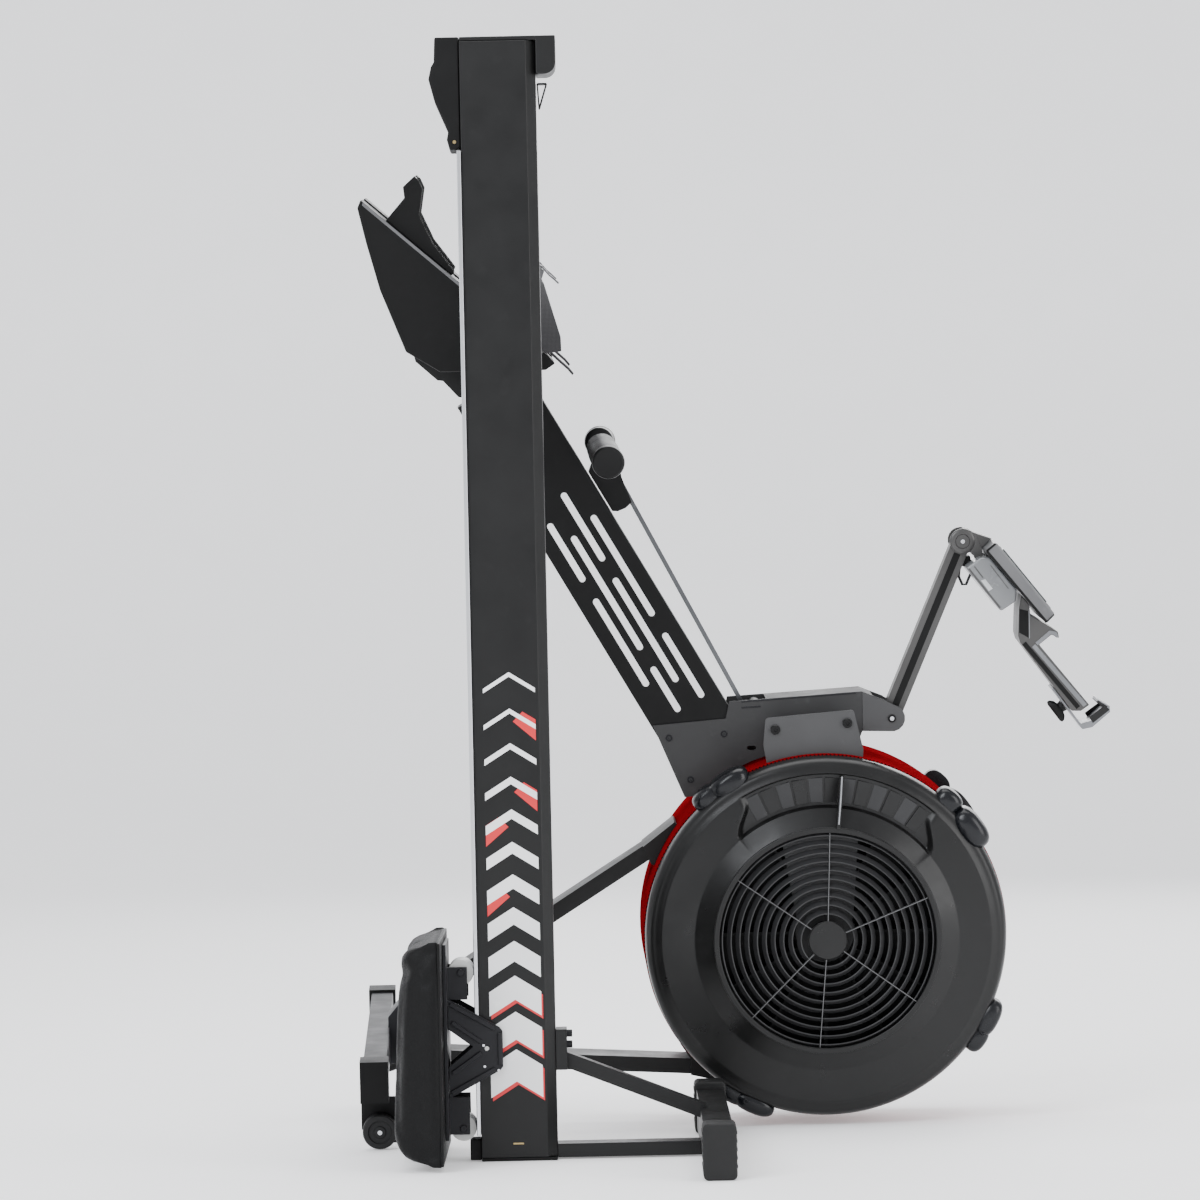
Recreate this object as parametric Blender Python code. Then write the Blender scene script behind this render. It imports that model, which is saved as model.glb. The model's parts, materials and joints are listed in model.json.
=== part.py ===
"""Air rowing machine in two halves, stood upright in its storage position.

Lengths are metres and +Z is up. The seat half (rail, seat, rear stand) is drawn in a frame at the
foot of its rail. The drive half (beam, fan, foot rests, handle, console) is drawn in a second
frame that leans towards the rail. In both frames outlines are (x, z) points and widths run along
Y; "near" is the -Y side and "far" is the +Y side.
"""
from math import cos, pi, radians, sin

import bmesh
import bpy
from mathutils import Matrix, Vector

# ---------------------------------------------------------------- driving dimensions
GAP = 0.0003                         # clearance between touching pieces
ROUND = 24                           # sides of a round bar

RAIL_FOOT = (-0.28386, -0.21008, 0.0)  # where the rail stands
DRIVE_FOOT = (-0.16836, 0.21992, 0.0)  # where the drive half stands
DRIVE_LEAN = radians(5.0)
DRIVE_TURN = radians(1.2)

RAIL_LEFT = -0.0442
RAIL_RIGHT = 0.0495
RAIL_HALF_WIDTH = 0.033
RAIL_TOP = 1.3797
RAIL_WALL = 0.002
RAIL_CHAMFER = 0.012
TUBE_WALL = 0.002
TRACK_FACE = -0.0495
TRACK_BACK = -0.0445
TRACK_HALF_WIDTH = 0.038

REAR_BAR_END = 0.245
REAR_FOOT_END = 0.300

SEAT_HALF_WIDTH = 0.155
ROLLER_RADIUS = 0.016
ROLLER_X = -0.0658
ROLLER_HEIGHTS = {"upper": 0.233, "lower": 0.0415}
GUIDE_RADIUS = 0.009
GUIDE_CENTRE = (-0.0352, 0.140)
PIN_HOLE = 0.0043
PIN_RADIUS = 0.004

FAN = (0.2815, 0.256)                # fan axle
FAN_VANES = 12
FAN_TIP = 0.205
COVER_RIM = 0.2345
COVER_SEGMENTS = 40
GRILLE_RADIUS = 0.142
GRILLE_FACE = 0.1365
GRILLE_BACK = 0.1335
COVER_BOSS_ANGLES = (125.2, 38.0, -32.4, -117.0)
BAND_OUTER = 0.2360
BAND_INNER = 0.2335
BAND_HALF_WIDTH = 0.085
AXLE_RADIUS = 0.008
AXLE_BORE = 0.0083
BEARING_RADIUS = 0.0162
SPROCKET_TEETH = 14
SADDLE_RADIUS = 0.2366

BEAM_LOW = (0.1343, 0.5016)
BEAM_HIGH = (-0.1365, 0.9688)
BEAM_DEPTH = 0.100
BEAM_HALF_WIDTH = 0.030
FRAME_HALF_WIDTH = 0.0335
FRAME_INNER = 0.0303
MOUNT_INNER = 0.072
MOUNT_OUTER = 0.075
MOUNT_BOLTS = ((0.2214, 0.5241), (0.3150, 0.5307))

FOOT_BAR_END = 0.262
WHEEL_CENTRE = (-0.298, 0.0475)
WHEEL_RADIUS = 0.022

HANDLE = (0.003, 0.894)
HANDLE_HALF_LENGTH = 0.235
HANDLE_STRAIGHT = 0.070              # half-length of the straight middle
HANDLE_SWEEP = 0.059                 # how far the grips slant down the beam, per metre of their length
GRIP_RADIUS = 0.0210
CHAIN_EXIT = (0.1807, 0.5550)
CHAIN_TOP = (0.0134, 0.8741)

HEEL = Vector((-0.2986, 1.2202))     # heel end of the foot plates' top face
FOOT_ALONG = Vector((0.7556, -0.6550))
FOOT_OUT = Vector((0.6550, 0.7556))
FOOT_INNER = 0.055
FOOT_OUTER = 0.160
STRAP_WIDTH = 0.045
STRAP_RISE = 0.067
STRAP_FRONT = 0.322                  # foremost point of a strap, measured from the heel end
STRAP_BULGE = 0.019                  # height of that point over the foot plate
STRAP_SLANTS = (0.94, 1.55)          # how fast the strap draws back below and above it

ARM_PIVOT = (0.3762, 0.5310)
CONSOLE_PIVOT = (0.4731, 0.7594)
ARM_WIDTH = 0.0246
ARM_HALF_THICKNESS = 0.013
HOLDER_TOP = Vector((0.5450, 0.6265))
HOLDER_ALONG = Vector((0.5915, -0.8063))
HOLDER_BACK = Vector((-0.8063, -0.5915))

# name: (colour, roughness, metallic)
LOOKS = {
    "black_paint": ((0.012, 0.012, 0.014, 1.0), 0.38, 0.0),
    "dark_steel": ((0.060, 0.062, 0.068, 1.0), 0.42, 0.7),
    "chain_steel": ((0.400, 0.410, 0.430, 1.0), 0.35, 1.0),
    "stainless": ((0.620, 0.630, 0.640, 1.0), 0.28, 1.0),
    "chrome": ((0.780, 0.790, 0.800, 1.0), 0.12, 1.0),
    "grey_paint": ((0.190, 0.195, 0.205, 1.0), 0.45, 0.2),
    "black_plastic": ((0.016, 0.016, 0.018, 1.0), 0.50, 0.0),
    "grey_plastic": ((0.330, 0.335, 0.345, 1.0), 0.50, 0.0),
    "clear_grey_plastic": ((0.520, 0.530, 0.545, 1.0), 0.35, 0.0),
    "white_plastic": ((0.780, 0.780, 0.770, 1.0), 0.45, 0.0),
    "red_plastic": ((0.520, 0.010, 0.012, 1.0), 0.25, 0.0),
    "rubber": ((0.014, 0.014, 0.014, 1.0), 0.80, 0.0),
    "seat_cover": ((0.020, 0.020, 0.021, 1.0), 0.62, 0.0),
    "webbing": ((0.018, 0.018, 0.020, 1.0), 0.85, 0.0),
    "aluminium": ((0.560, 0.570, 0.580, 1.0), 0.35, 1.0),
    "screen_glass": ((0.020, 0.024, 0.028, 1.0), 0.10, 0.0),
}


# ---------------------------------------------------------------- outlines
def arc(centre, radius, first, last, steps):
    """Points along an arc; angles are degrees from +X towards +Z."""
    points = []
    for step in range(steps + 1):
        angle = radians(first + (last - first) * step / steps)
        points.append((centre[0] + radius * cos(angle), centre[1] + radius * sin(angle)))
    return points


def circle(centre, radius, sides=ROUND):
    return arc(centre, radius, 0.0, 360.0, sides)[:-1]


def rectangle(left, right, low, high):
    return [(left, low), (right, low), (right, high), (left, high)]


def strip(start, end, thickness, overrun=0.0):
    """Four corners of a straight strip from one point to another."""
    start = Vector(start)
    end = Vector(end)
    along = (end - start).normalized()
    across = Vector((-along.y, along.x)) * thickness / 2
    start = start - along * overrun
    end = end + along * overrun
    return [start - across, end - across, end + across, start + across]


def foot_point(along, out):
    """A point given along and above the foot plates' top face."""
    return HEEL + FOOT_ALONG * along + FOOT_OUT * out


def holder_point(along, behind):
    """A point given along and behind the tablet holder's back face."""
    return HOLDER_TOP + HOLDER_ALONG * along + HOLDER_BACK * behind


def gear_outline(root, tip, teeth):
    points = []
    pitch = 360.0 / teeth
    for tooth in range(teeth):
        angle = tooth * pitch
        points += arc(FAN, root, angle, angle + pitch * 0.40, 1)
        points += arc(FAN, tip, angle + pitch * 0.55, angle + pitch * 0.85, 1)
    return points


def fan_outline(hub, tip, vanes, thickness):
    """A hub with straight radial vanes."""
    points = []
    pitch = 360.0 / vanes
    at_hub = thickness / 2 / hub * 180.0 / pi
    at_tip = thickness / 2 / tip * 180.0 / pi
    for vane in range(vanes):
        angle = vane * pitch
        points += arc(FAN, tip, angle - at_tip, angle + at_tip, 1)
        points += arc(FAN, hub, angle + at_hub, angle + pitch - at_hub, 2)
    return points


# ---------------------------------------------------------------- solids
def solid(mesh_data):
    """Turn a bmesh into an object in the scene, faces pointing out."""
    bmesh.ops.recalc_face_normals(mesh_data, faces=mesh_data.faces)
    mesh = bpy.data.meshes.new("shape")
    mesh_data.to_mesh(mesh)
    mesh_data.free()
    shape = bpy.data.objects.new("shape", mesh)
    bpy.context.collection.objects.link(shape)
    return shape


def loft(sections):
    """Skin a row of equal closed sections and cap both ends."""
    mesh_data = bmesh.new()
    rings = [[mesh_data.verts.new(point) for point in section] for section in sections]
    count = len(rings[0])
    for lower, upper in zip(rings, rings[1:]):
        for i in range(count):
            j = (i + 1) % count
            mesh_data.faces.new((lower[i], lower[j], upper[j], upper[i]))
    mesh_data.faces.new(rings[0])
    mesh_data.faces.new(rings[-1])
    return solid(mesh_data)


def prism(outline, y_first, y_last):
    """Extrude an (x, z) outline along Y."""
    return loft([[(x, y, z) for x, z in outline] for y in (y_first, y_last)])


def sided_prism(outline, side, inner, outer):
    """A prism on one side only: side is -1 for near and +1 for far."""
    return prism(outline, side * inner, side * outer)


def column(outline, low, high):
    """Extrude an (x, y) outline along Z."""
    return loft([[(x, y, z) for x, y in outline] for z in (low, high)])


def block(left, right, half_width, low, high):
    return prism(rectangle(left, right, low, high), -half_width, half_width)


def turned(profile, centre, segments=ROUND):
    """Turn a closed (radius, y) profile about the Y line through centre."""
    mesh_data = bmesh.new()
    rings = []
    for radius, y in profile:
        count = segments if radius > 0 else 1
        turns = [2 * pi * i / count for i in range(count)]
        rings.append([
            mesh_data.verts.new((centre[0] + radius * cos(turn), y, centre[1] + radius * sin(turn)))
            for turn in turns
        ])
    for lower, upper in zip(rings, rings[1:] + rings[:1]):
        if len(lower) == 1 and len(upper) == 1:
            continue
        for i in range(segments):
            j = i + 1
            corners = (
                lower[i % len(lower)], lower[j % len(lower)],
                upper[j % len(upper)], upper[i % len(upper)],
            )
            mesh_data.faces.new(list(dict.fromkeys(corners)))
    return solid(mesh_data)


def rod(centre, radius, y_first, y_last, segments=ROUND):
    return turned([(0, y_first), (radius, y_first), (radius, y_last), (0, y_last)], centre, segments)


def ring(centre, outer, inner, y_first, y_last, segments=ROUND):
    profile = [(inner, y_first), (outer, y_first), (outer, y_last), (inner, y_last)]
    return turned(profile, centre, segments)


def combine(base, tools, operation):
    """Apply exact Booleans to base and drop the tool shapes."""
    for tool in tools:
        modifier = base.modifiers.new("combine", "BOOLEAN")
        modifier.operation = operation
        modifier.solver = "EXACT"
        modifier.object = tool
        graph = bpy.context.evaluated_depsgraph_get()
        result = bpy.data.meshes.new_from_object(base.evaluated_get(graph))
        base.modifiers.clear()
        base.data = result
        bpy.data.objects.remove(tool)
    return base


def union(base, *tools):
    return combine(base, tools, "UNION")


def cut(base, *tools):
    return combine(base, tools, "DIFFERENCE")


def tube(start, end, depth, half_width, wall):
    """Rectangular tube, open at both ends."""
    outside = prism(strip(start, end, depth), -half_width, half_width)
    inside_width = half_width - wall
    inside = prism(strip(start, end, depth - 2 * wall, 0.01), -inside_width, inside_width)
    return cut(outside, inside)


# ---------------------------------------------------------------- scene helpers
def clear_scene():
    for old in list(bpy.data.objects):
        bpy.data.objects.remove(old)


def make_material(name):
    colour, roughness, metallic = LOOKS[name]
    material = bpy.data.materials.new(name)
    material.use_nodes = True
    material.diffuse_color = colour
    shader = material.node_tree.nodes["Principled BSDF"]
    shader.inputs["Base Color"].default_value = colour
    shader.inputs["Roughness"].default_value = roughness
    shader.inputs["Metallic"].default_value = metallic
    return material


def make_frame(name, location, rotation=(0.0, 0.0, 0.0)):
    frame = bpy.data.objects.new(name, None)
    frame.location = location
    frame.rotation_euler = rotation
    bpy.context.collection.objects.link(frame)
    return frame


def add(name, shape, look, frame, origin=(0.0, 0.0, 0.0), smooth=False):
    """Name a finished shape, colour it and hang it in its frame with its origin on its joint."""
    shape.name = name
    shape.data.name = name
    shape.data.transform(Matrix.Translation(-Vector(origin)))
    shape.data.materials.clear()
    shape.data.materials.append(bpy.data.materials.get(look) or make_material(look))
    if smooth:
        shape.data.shade_smooth()
        shape.data.set_sharp_from_angle(angle=radians(35))
    shape.location = origin
    shape.parent = frame
    return shape


def on_axis(point, y=0.0):
    return (point[0], y, point[1])


# ---------------------------------------------------------------- seat half
def build_rail(frame):
    def section(margin, chamfer):
        left = RAIL_LEFT + margin
        right = RAIL_RIGHT - margin
        half = RAIL_HALF_WIDTH - margin
        return [
            (left, -half), (right - chamfer, -half), (right, -half + chamfer),
            (right, half - chamfer), (right - chamfer, half), (left, half),
        ]

    low = 0.004 + GAP
    outside = column(section(0.0, RAIL_CHAMFER), low, RAIL_TOP)
    inside_chamfer = RAIL_CHAMFER - 0.4 * RAIL_WALL
    inside = column(section(RAIL_WALL, inside_chamfer), low - 0.01, RAIL_TOP + 0.01)
    add("rail_beam", cut(outside, inside), "black_paint", frame)

    track = block(TRACK_FACE, TRACK_BACK, TRACK_HALF_WIDTH, 0.032, 1.245)
    add("rail_track", track, "stainless", frame)

    end_cap = block(RAIL_LEFT, RAIL_RIGHT, RAIL_HALF_WIDTH, 0.0, 0.004)
    add("rail_end_cap", end_cap, "black_plastic", frame)

    head_top = 1.3855
    head = [(RAIL_LEFT, RAIL_TOP + GAP), (RAIL_LEFT, head_top), (0.0745, head_top), (0.0745, 1.352)]
    head += arc((0.0605, 1.352), 0.014, -20.0, -80.0, 4)
    head += [(0.0498, 1.338), (0.0498, RAIL_TOP + GAP)]
    add("rail_head", prism(head, -0.030, 0.030), "dark_steel", frame)

    latch = [(0.0505, 1.329), (0.0625, 1.329), (0.0560, 1.300), (0.0505, 1.296)]
    add("frame_latch", prism(latch, -0.008, 0.008), "black_plastic", frame, (0.0530, 0.0, 1.300))


def build_stops(frame):
    front = [
        (-0.0445, 1.3855), (-0.0743, 1.3855), (-0.0757, 1.3550), (-0.0793, 1.3490),
        (-0.0827, 1.3340), (-0.0758, 1.3070), (-0.0596, 1.2690), (-0.0614, 1.2590),
        (-0.0582, 1.2465), (-0.0500, 1.2465), (-0.0445, 1.2500),
    ]
    add("front_stop", prism(front, -0.030, 0.030), "black_plastic", frame)
    rear = block(-0.0585, TRACK_BACK, 0.020, 0.0005, 0.026)
    add("rear_stop", rear, "rubber", frame)


def build_rear_stand(frame):
    strut = block(RAIL_RIGHT + GAP, 0.230, 0.020, 0.002, 0.019)
    brace = prism(strip((0.060, 0.1226), (0.230, 0.0550), 0.018), -0.0125, 0.0125)
    bracket = block(RAIL_RIGHT + GAP, 0.0633, 0.022, 0.110, 0.160)
    cross_bar = block(0.2262, 0.2612, REAR_BAR_END, 0.008, 0.058)
    leg = union(cross_bar, strut, brace, bracket)
    hollow = block(0.2262 + TUBE_WALL, 0.2612 - TUBE_WALL, 0.260, 0.008 + TUBE_WALL, 0.058 - TUBE_WALL)
    add("rear_leg", cut(leg, hollow), "black_paint", frame)
    for name, side in (("near", -1), ("far", 1)):
        corner = 0.006
        outline = (
            arc((0.2235 + corner, corner), corner, 180.0, 270.0, 3)
            + arc((0.2640 - corner, corner), corner, -90.0, 0.0, 3)
            + arc((0.2640 - corner, 0.067 - corner), corner, 0.0, 90.0, 3)
            + arc((0.2235 + corner, 0.067 - corner), corner, 90.0, 180.0, 3)
        )
        foot = sided_prism(outline, side, REAR_BAR_END + GAP, REAR_FOOT_END)
        add(f"rear_foot_{name}", foot, "rubber", frame)


def build_seat(frame):
    plate_face = -0.0870
    cushion = [
        (plate_face, 0.0040), (-0.1369, 0.0120), (-0.1438, 0.0180), (-0.1425, 0.1260),
        (-0.1394, 0.2266), (-0.1310, 0.2464), (-0.1328, 0.2565), (-0.1263, 0.2735),
        (-0.1201, 0.2790), (plate_face, 0.2840),
    ]
    cushion_shape = prism(cushion, -SEAT_HALF_WIDTH, SEAT_HALF_WIDTH)
    add("seat_cushion", cushion_shape, "seat_cover", frame)

    carriage = block(-0.0866, -0.0826, 0.070, 0.030, 0.270)
    forks = []
    for low, high in ((0.200, 0.240), (0.034, 0.080)):
        for side in (-1, 1):
            forks.append(sided_prism(rectangle(-0.0830, -0.0580, low, high), side, 0.029, 0.034))
    carriage = union(carriage, *forks)
    holes = [rod((ROLLER_X, z), PIN_HOLE, -0.05, 0.05, 12) for z in ROLLER_HEIGHTS.values()]
    add("seat_carriage", cut(carriage, *holes), "dark_steel", frame)

    side_plate = [
        (-0.0823, 0.2015), (-0.0738, 0.1975), (-0.0190, 0.1660), (-0.0154, 0.1610),
        (-0.0154, 0.1175), (-0.0190, 0.1130), (-0.0823, 0.0790), (-0.0823, 0.1180),
        (-0.0525, 0.1425), (-0.0823, 0.1645),
    ]
    for name, side in (("near", -1), ("far", 1)):
        plate = sided_prism(side_plate, side, 0.0385, 0.0415)
        plate = cut(plate, rod(GUIDE_CENTRE, 0.0033, -0.06, 0.06, 12))
        add(f"carriage_side_{name}", plate, "dark_steel", frame)


def build_rollers(frame):
    half_width = 0.0285
    stub_end = 0.0345
    for name, height in ROLLER_HEIGHTS.items():
        centre = (ROLLER_X, height)
        profile = [
            (0, -stub_end), (PIN_RADIUS, -stub_end), (PIN_RADIUS, -half_width),
            (ROLLER_RADIUS, -half_width), (ROLLER_RADIUS, half_width),
            (PIN_RADIUS, half_width), (PIN_RADIUS, stub_end), (0, stub_end),
        ]
        roller = turned(profile, centre)
        add(f"seat_roller_{name}", roller, "white_plastic", frame, on_axis(centre), True)
    for name, side in (("near", -1), ("far", 1)):
        profile = [
            (0, side * 0.0335), (GUIDE_RADIUS, side * 0.0335), (GUIDE_RADIUS, side * 0.0375),
            (0.003, side * 0.0375), (0.003, side * 0.0411), (0, side * 0.0411),
        ]
        roller = turned(profile, GUIDE_CENTRE, 16)
        origin = on_axis(GUIDE_CENTRE, side * 0.0355)
        add(f"guide_roller_{name}", roller, "white_plastic", frame, origin, True)


# ---------------------------------------------------------------- drive half: structure
def build_beam(frame):
    beam = tube(BEAM_LOW, BEAM_HIGH, BEAM_DEPTH, BEAM_HALF_WIDTH, TUBE_WALL)
    add("main_beam", beam, "black_paint", frame)


def build_fan_frame(frame):
    top_left = (0.1640, 0.5575)
    top_right = (0.3370, 0.5672)
    outline = [(0.0639, 0.5279), (0.1591, 0.5351), top_left, top_right, (0.3694, 0.5541)]
    outline += arc(ARM_PIVOT, 0.0175, 100.0, -80.0, 8)
    outline += [(0.3374, 0.5150), (0.3300, 0.4960)]
    outline += arc(FAN, 0.240, 78.0, 132.0, 8)
    outline += [(0.1037, 0.4332)]

    flange = 0.003
    flange_start = 0.212
    flange_end = 0.352
    above = 0.60
    below = 0.38
    slope = (top_right[1] - top_left[1]) / (top_right[0] - top_left[0])
    start_height = top_left[1] + slope * (flange_start - top_left[0]) - flange
    pocket = [
        (0.030, below), (0.420, below), (0.420, above), (flange_end, above),
        (flange_end, 0.5611 - flange), (top_right[0], top_right[1] - flange),
        (flange_start, start_height), (flange_start, above), (0.030, above),
    ]
    body = prism(outline, -FRAME_HALF_WIDTH, FRAME_HALF_WIDTH)
    oval = arc((0.1953, 0.4958), 0.003, -90.0, 90.0, 4) + arc((0.1893, 0.4958), 0.003, 90.0, 270.0, 4)
    body = cut(
        body,
        prism(pocket, -FRAME_INNER, FRAME_INNER),
        rod(ARM_PIVOT, PIN_HOLE, -0.05, 0.05, 16),
        prism(oval, -0.05, 0.05),
    )
    add("fan_frame", body, "dark_steel", frame)

    guide = rod((0.1988, 0.5477), 0.009, -0.0298, 0.0298, 16)
    add("chain_guide", guide, "black_plastic", frame, smooth=True)
    chain = prism(strip((0.1812, 0.5540), (0.303, 0.265), 0.006), -0.0025, 0.0025)
    add("drive_chain", chain, "chain_steel", frame)


def build_mount_plates(frame):
    outline = arc((0.2130, 0.5350), 0.0045, 180.0, 95.0, 3)
    outline += arc((0.3200, 0.5430), 0.0045, 85.0, 0.0, 3)
    outline += [(0.3354, 0.4959), (0.3200, 0.2900)]
    outline += arc(FAN, 0.038, 20.0, -200.0, 12)
    outline += [(0.2430, 0.2900), (0.2055, 0.5039)]
    for name, side in (("near", -1), ("far", 1)):
        plate = sided_prism(outline, side, MOUNT_INNER, MOUNT_OUTER)
        bosses = [
            rod(bolt, 0.008, side * (FRAME_HALF_WIDTH + GAP), side * (MOUNT_INNER + 0.001), 16)
            for bolt in MOUNT_BOLTS
        ]
        plate = union(plate, *bosses)
        plate = cut(plate, rod(FAN, BEARING_RADIUS + GAP, -0.09, 0.09))
        add(f"mount_plate_{name}", plate, "dark_steel", frame)
        bearing = ring(FAN, BEARING_RADIUS, AXLE_BORE, side * 0.0705, side * 0.0765)
        add(f"axle_bearing_{name}", bearing, "stainless", frame, smooth=True)


def build_fan(frame):
    origin = on_axis(FAN)
    add("flywheel_axle", rod(FAN, AXLE_RADIUS, -0.080, 0.080), "stainless", frame, origin, True)
    wheel = prism(fan_outline(0.040, FAN_TIP, FAN_VANES, 0.004), -0.066, -0.006)
    wheel = cut(wheel, rod(FAN, AXLE_BORE, -0.08, 0.08))
    add("fan_wheel", wheel, "black_plastic", frame, origin)
    sprocket = prism(gear_outline(0.0165, 0.020, SPROCKET_TEETH), -0.0025, 0.0025)
    sprocket = cut(sprocket, rod(FAN, AXLE_BORE, -0.08, 0.08))
    add("drive_sprocket", sprocket, "chain_steel", frame, origin)


def build_covers(frame):
    shell = [
        (COVER_RIM, 0.0853), (COVER_RIM, 0.098), (0.230, 0.108), (0.221, 0.116), (0.213, 0.1185),
        (0.171, 0.1225), (0.1445, GRILLE_FACE), (GRILLE_RADIUS, GRILLE_FACE),
        (GRILLE_RADIUS, GRILLE_BACK), (0.1435, GRILLE_BACK), (0.170, 0.1195), (0.212, 0.1155),
        (0.219, 0.1135), (0.2275, 0.1065), (0.2315, 0.097), (0.2315, 0.0853),
    ]
    for name, side in (("near", -1), ("far", 1)):
        cover = turned([(radius, side * y) for radius, y in shell], FAN, COVER_SEGMENTS)
        face = side * GRILLE_FACE
        back = side * GRILLE_BACK
        spokes = []
        for angle in range(0, 180, 60):
            start, end = arc(FAN, GRILLE_RADIUS + 0.001, angle, angle + 180.0, 1)
            spokes.append(prism(strip(start, end, 0.006), back, face))
        rings = [ring(FAN, radius, radius - 0.005, back, face) for radius in (0.065, 0.105)]
        hub = rod(FAN, 0.025, back, face)
        bosses = []
        for angle in COVER_BOSS_ANGLES:
            lug = arc(FAN, 0.228, angle - 9.0, angle + 9.0, 3)
            lug += arc(FAN, 0.252, angle + 6.5, angle - 6.5, 3)
            bosses.append(sided_prism(lug, side, 0.0856, 0.110))
        cover = union(cover, *spokes, *rings, hub, *bosses)
        add(f"cover_{name}", cover, "black_plastic", frame)

    band = ring(FAN, BAND_OUTER, BAND_INNER, -BAND_HALF_WIDTH, BAND_HALF_WIDTH, COVER_SEGMENTS)
    plate_slots = [
        sided_prism(rectangle(0.200, 0.340, 0.44, 0.52), side, 0.0716, 0.0754) for side in (-1, 1)
    ]
    chain_slot = prism(rectangle(0.200, 0.225, 0.44, 0.52), -0.006, 0.006)
    add("air_ring", cut(band, *plate_slots, chain_slot), "red_plastic", frame, smooth=True)


def build_damper(frame):
    inner = 0.140
    outer = 0.1475
    dial = ring(FAN, outer, inner, -0.1405, -0.1368, 40)
    fin_profile = [
        (0.1445, -0.1372), (0.1710, -0.1232), (0.2130, -0.1192),
        (0.2130, -0.1255), (0.1900, -0.1370), (0.1500, -0.1440), (0.1445, -0.1440),
    ]
    half_thickness = 0.0025
    angle = radians(84.0)
    outward = Vector((cos(angle), 0.0, sin(angle)))
    across = Vector((-sin(angle), 0.0, cos(angle))) * half_thickness
    centre = Vector(on_axis(FAN))
    sections = []
    for edge in (-across, across):
        sections.append([centre + outward * r + Vector((0.0, y, 0.0)) + edge for r, y in fin_profile])
    add("damper_lever", union(dial, loft(sections)), "black_plastic", frame, on_axis(FAN))


def build_front_legs(frame):
    depth = 0.020
    half_width = 0.025
    upper = tube((0.055, 0.3617), (-0.2622, 0.1612), depth, half_width, TUBE_WALL)
    saddle = [(0.048, 0.369), (0.0895, 0.4007)]
    saddle += arc(FAN, SADDLE_RADIUS, 143.0, 158.0, 4)
    saddle += [(0.0586, 0.3461), (0.0540, 0.3540)]
    add("leg_upper", union(upper, prism(saddle, -0.035, 0.035)), "black_paint", frame)

    lower = tube((0.108, 0.0763), (-0.2667, 0.0976), depth, half_width, TUBE_WALL)
    saddle = [(0.1065, 0.0863), (0.0921, 0.1080)]
    saddle += arc(FAN, SADDLE_RADIUS, -142.0, -124.0, 4)
    saddle += [(0.1471, 0.0567), (0.1055, 0.0663)]
    add("leg_lower", union(lower, prism(saddle, -0.035, 0.035)), "black_paint", frame)


def build_front_feet(frame):
    bar = block(-0.3175, -0.2885, FOOT_BAR_END, 0.0925, 0.1365)
    yoke = prism([(-0.290, 0.088), (-0.268, 0.088), (-0.268, 0.176), (-0.290, 0.150)], -0.0245, 0.0245)
    hollow = block(-0.3175 + TUBE_WALL, -0.2885 - TUBE_WALL, 0.280, 0.0925 + TUBE_WALL, 0.1365 - TUBE_WALL)
    add("front_foot_bar", cut(union(bar, yoke), hollow), "grey_paint", frame)

    cheek = [(-0.3214, 0.089), (-0.3214, 0.0475)]
    cheek += arc(WHEEL_CENTRE, 0.0175, 180.0, 270.0, 4)
    cheek += [(-0.2863, 0.030), (-0.2755, 0.030), (-0.270, 0.060), (-0.2745, 0.089)]
    for name, side in (("near", -1), ("far", 1)):
        cap = sided_prism(rectangle(-0.3215, -0.2855, 0.0875, 0.140), side, FOOT_BAR_END + GAP, 0.305)
        bracket = sided_prism(cheek, side, FOOT_BAR_END + GAP, 0.2673)
        foot = cut(union(cap, bracket), rod(WHEEL_CENTRE, PIN_HOLE, -0.28, 0.28, 12))
        add(f"front_foot_{name}", foot, "black_plastic", frame)
        profile = [
            (0, side * 0.263), (PIN_RADIUS, side * 0.263), (PIN_RADIUS, side * 0.268),
            (WHEEL_RADIUS, side * 0.268), (WHEEL_RADIUS, side * 0.290), (0, side * 0.290),
        ]
        wheel = turned(profile, WHEEL_CENTRE)
        origin = on_axis(WHEEL_CENTRE, side * 0.279)
        add(f"transport_wheel_{name}", wheel, "rubber", frame, origin, True)


# ---------------------------------------------------------------- drive half: handle and feet
def slanted_rod(radius, *stations):
    """A round rod whose middle follows the handle's line through the given widths."""
    along = (Vector(CHAIN_EXIT) - Vector(CHAIN_TOP)).normalized()
    sections = []
    for y in stations:
        centre = Vector(HANDLE) + along * HANDLE_SWEEP * (abs(y) - HANDLE_STRAIGHT)
        sections.append([(x, y, z) for x, z in circle(centre, radius)])
    return loft(sections)


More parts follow.
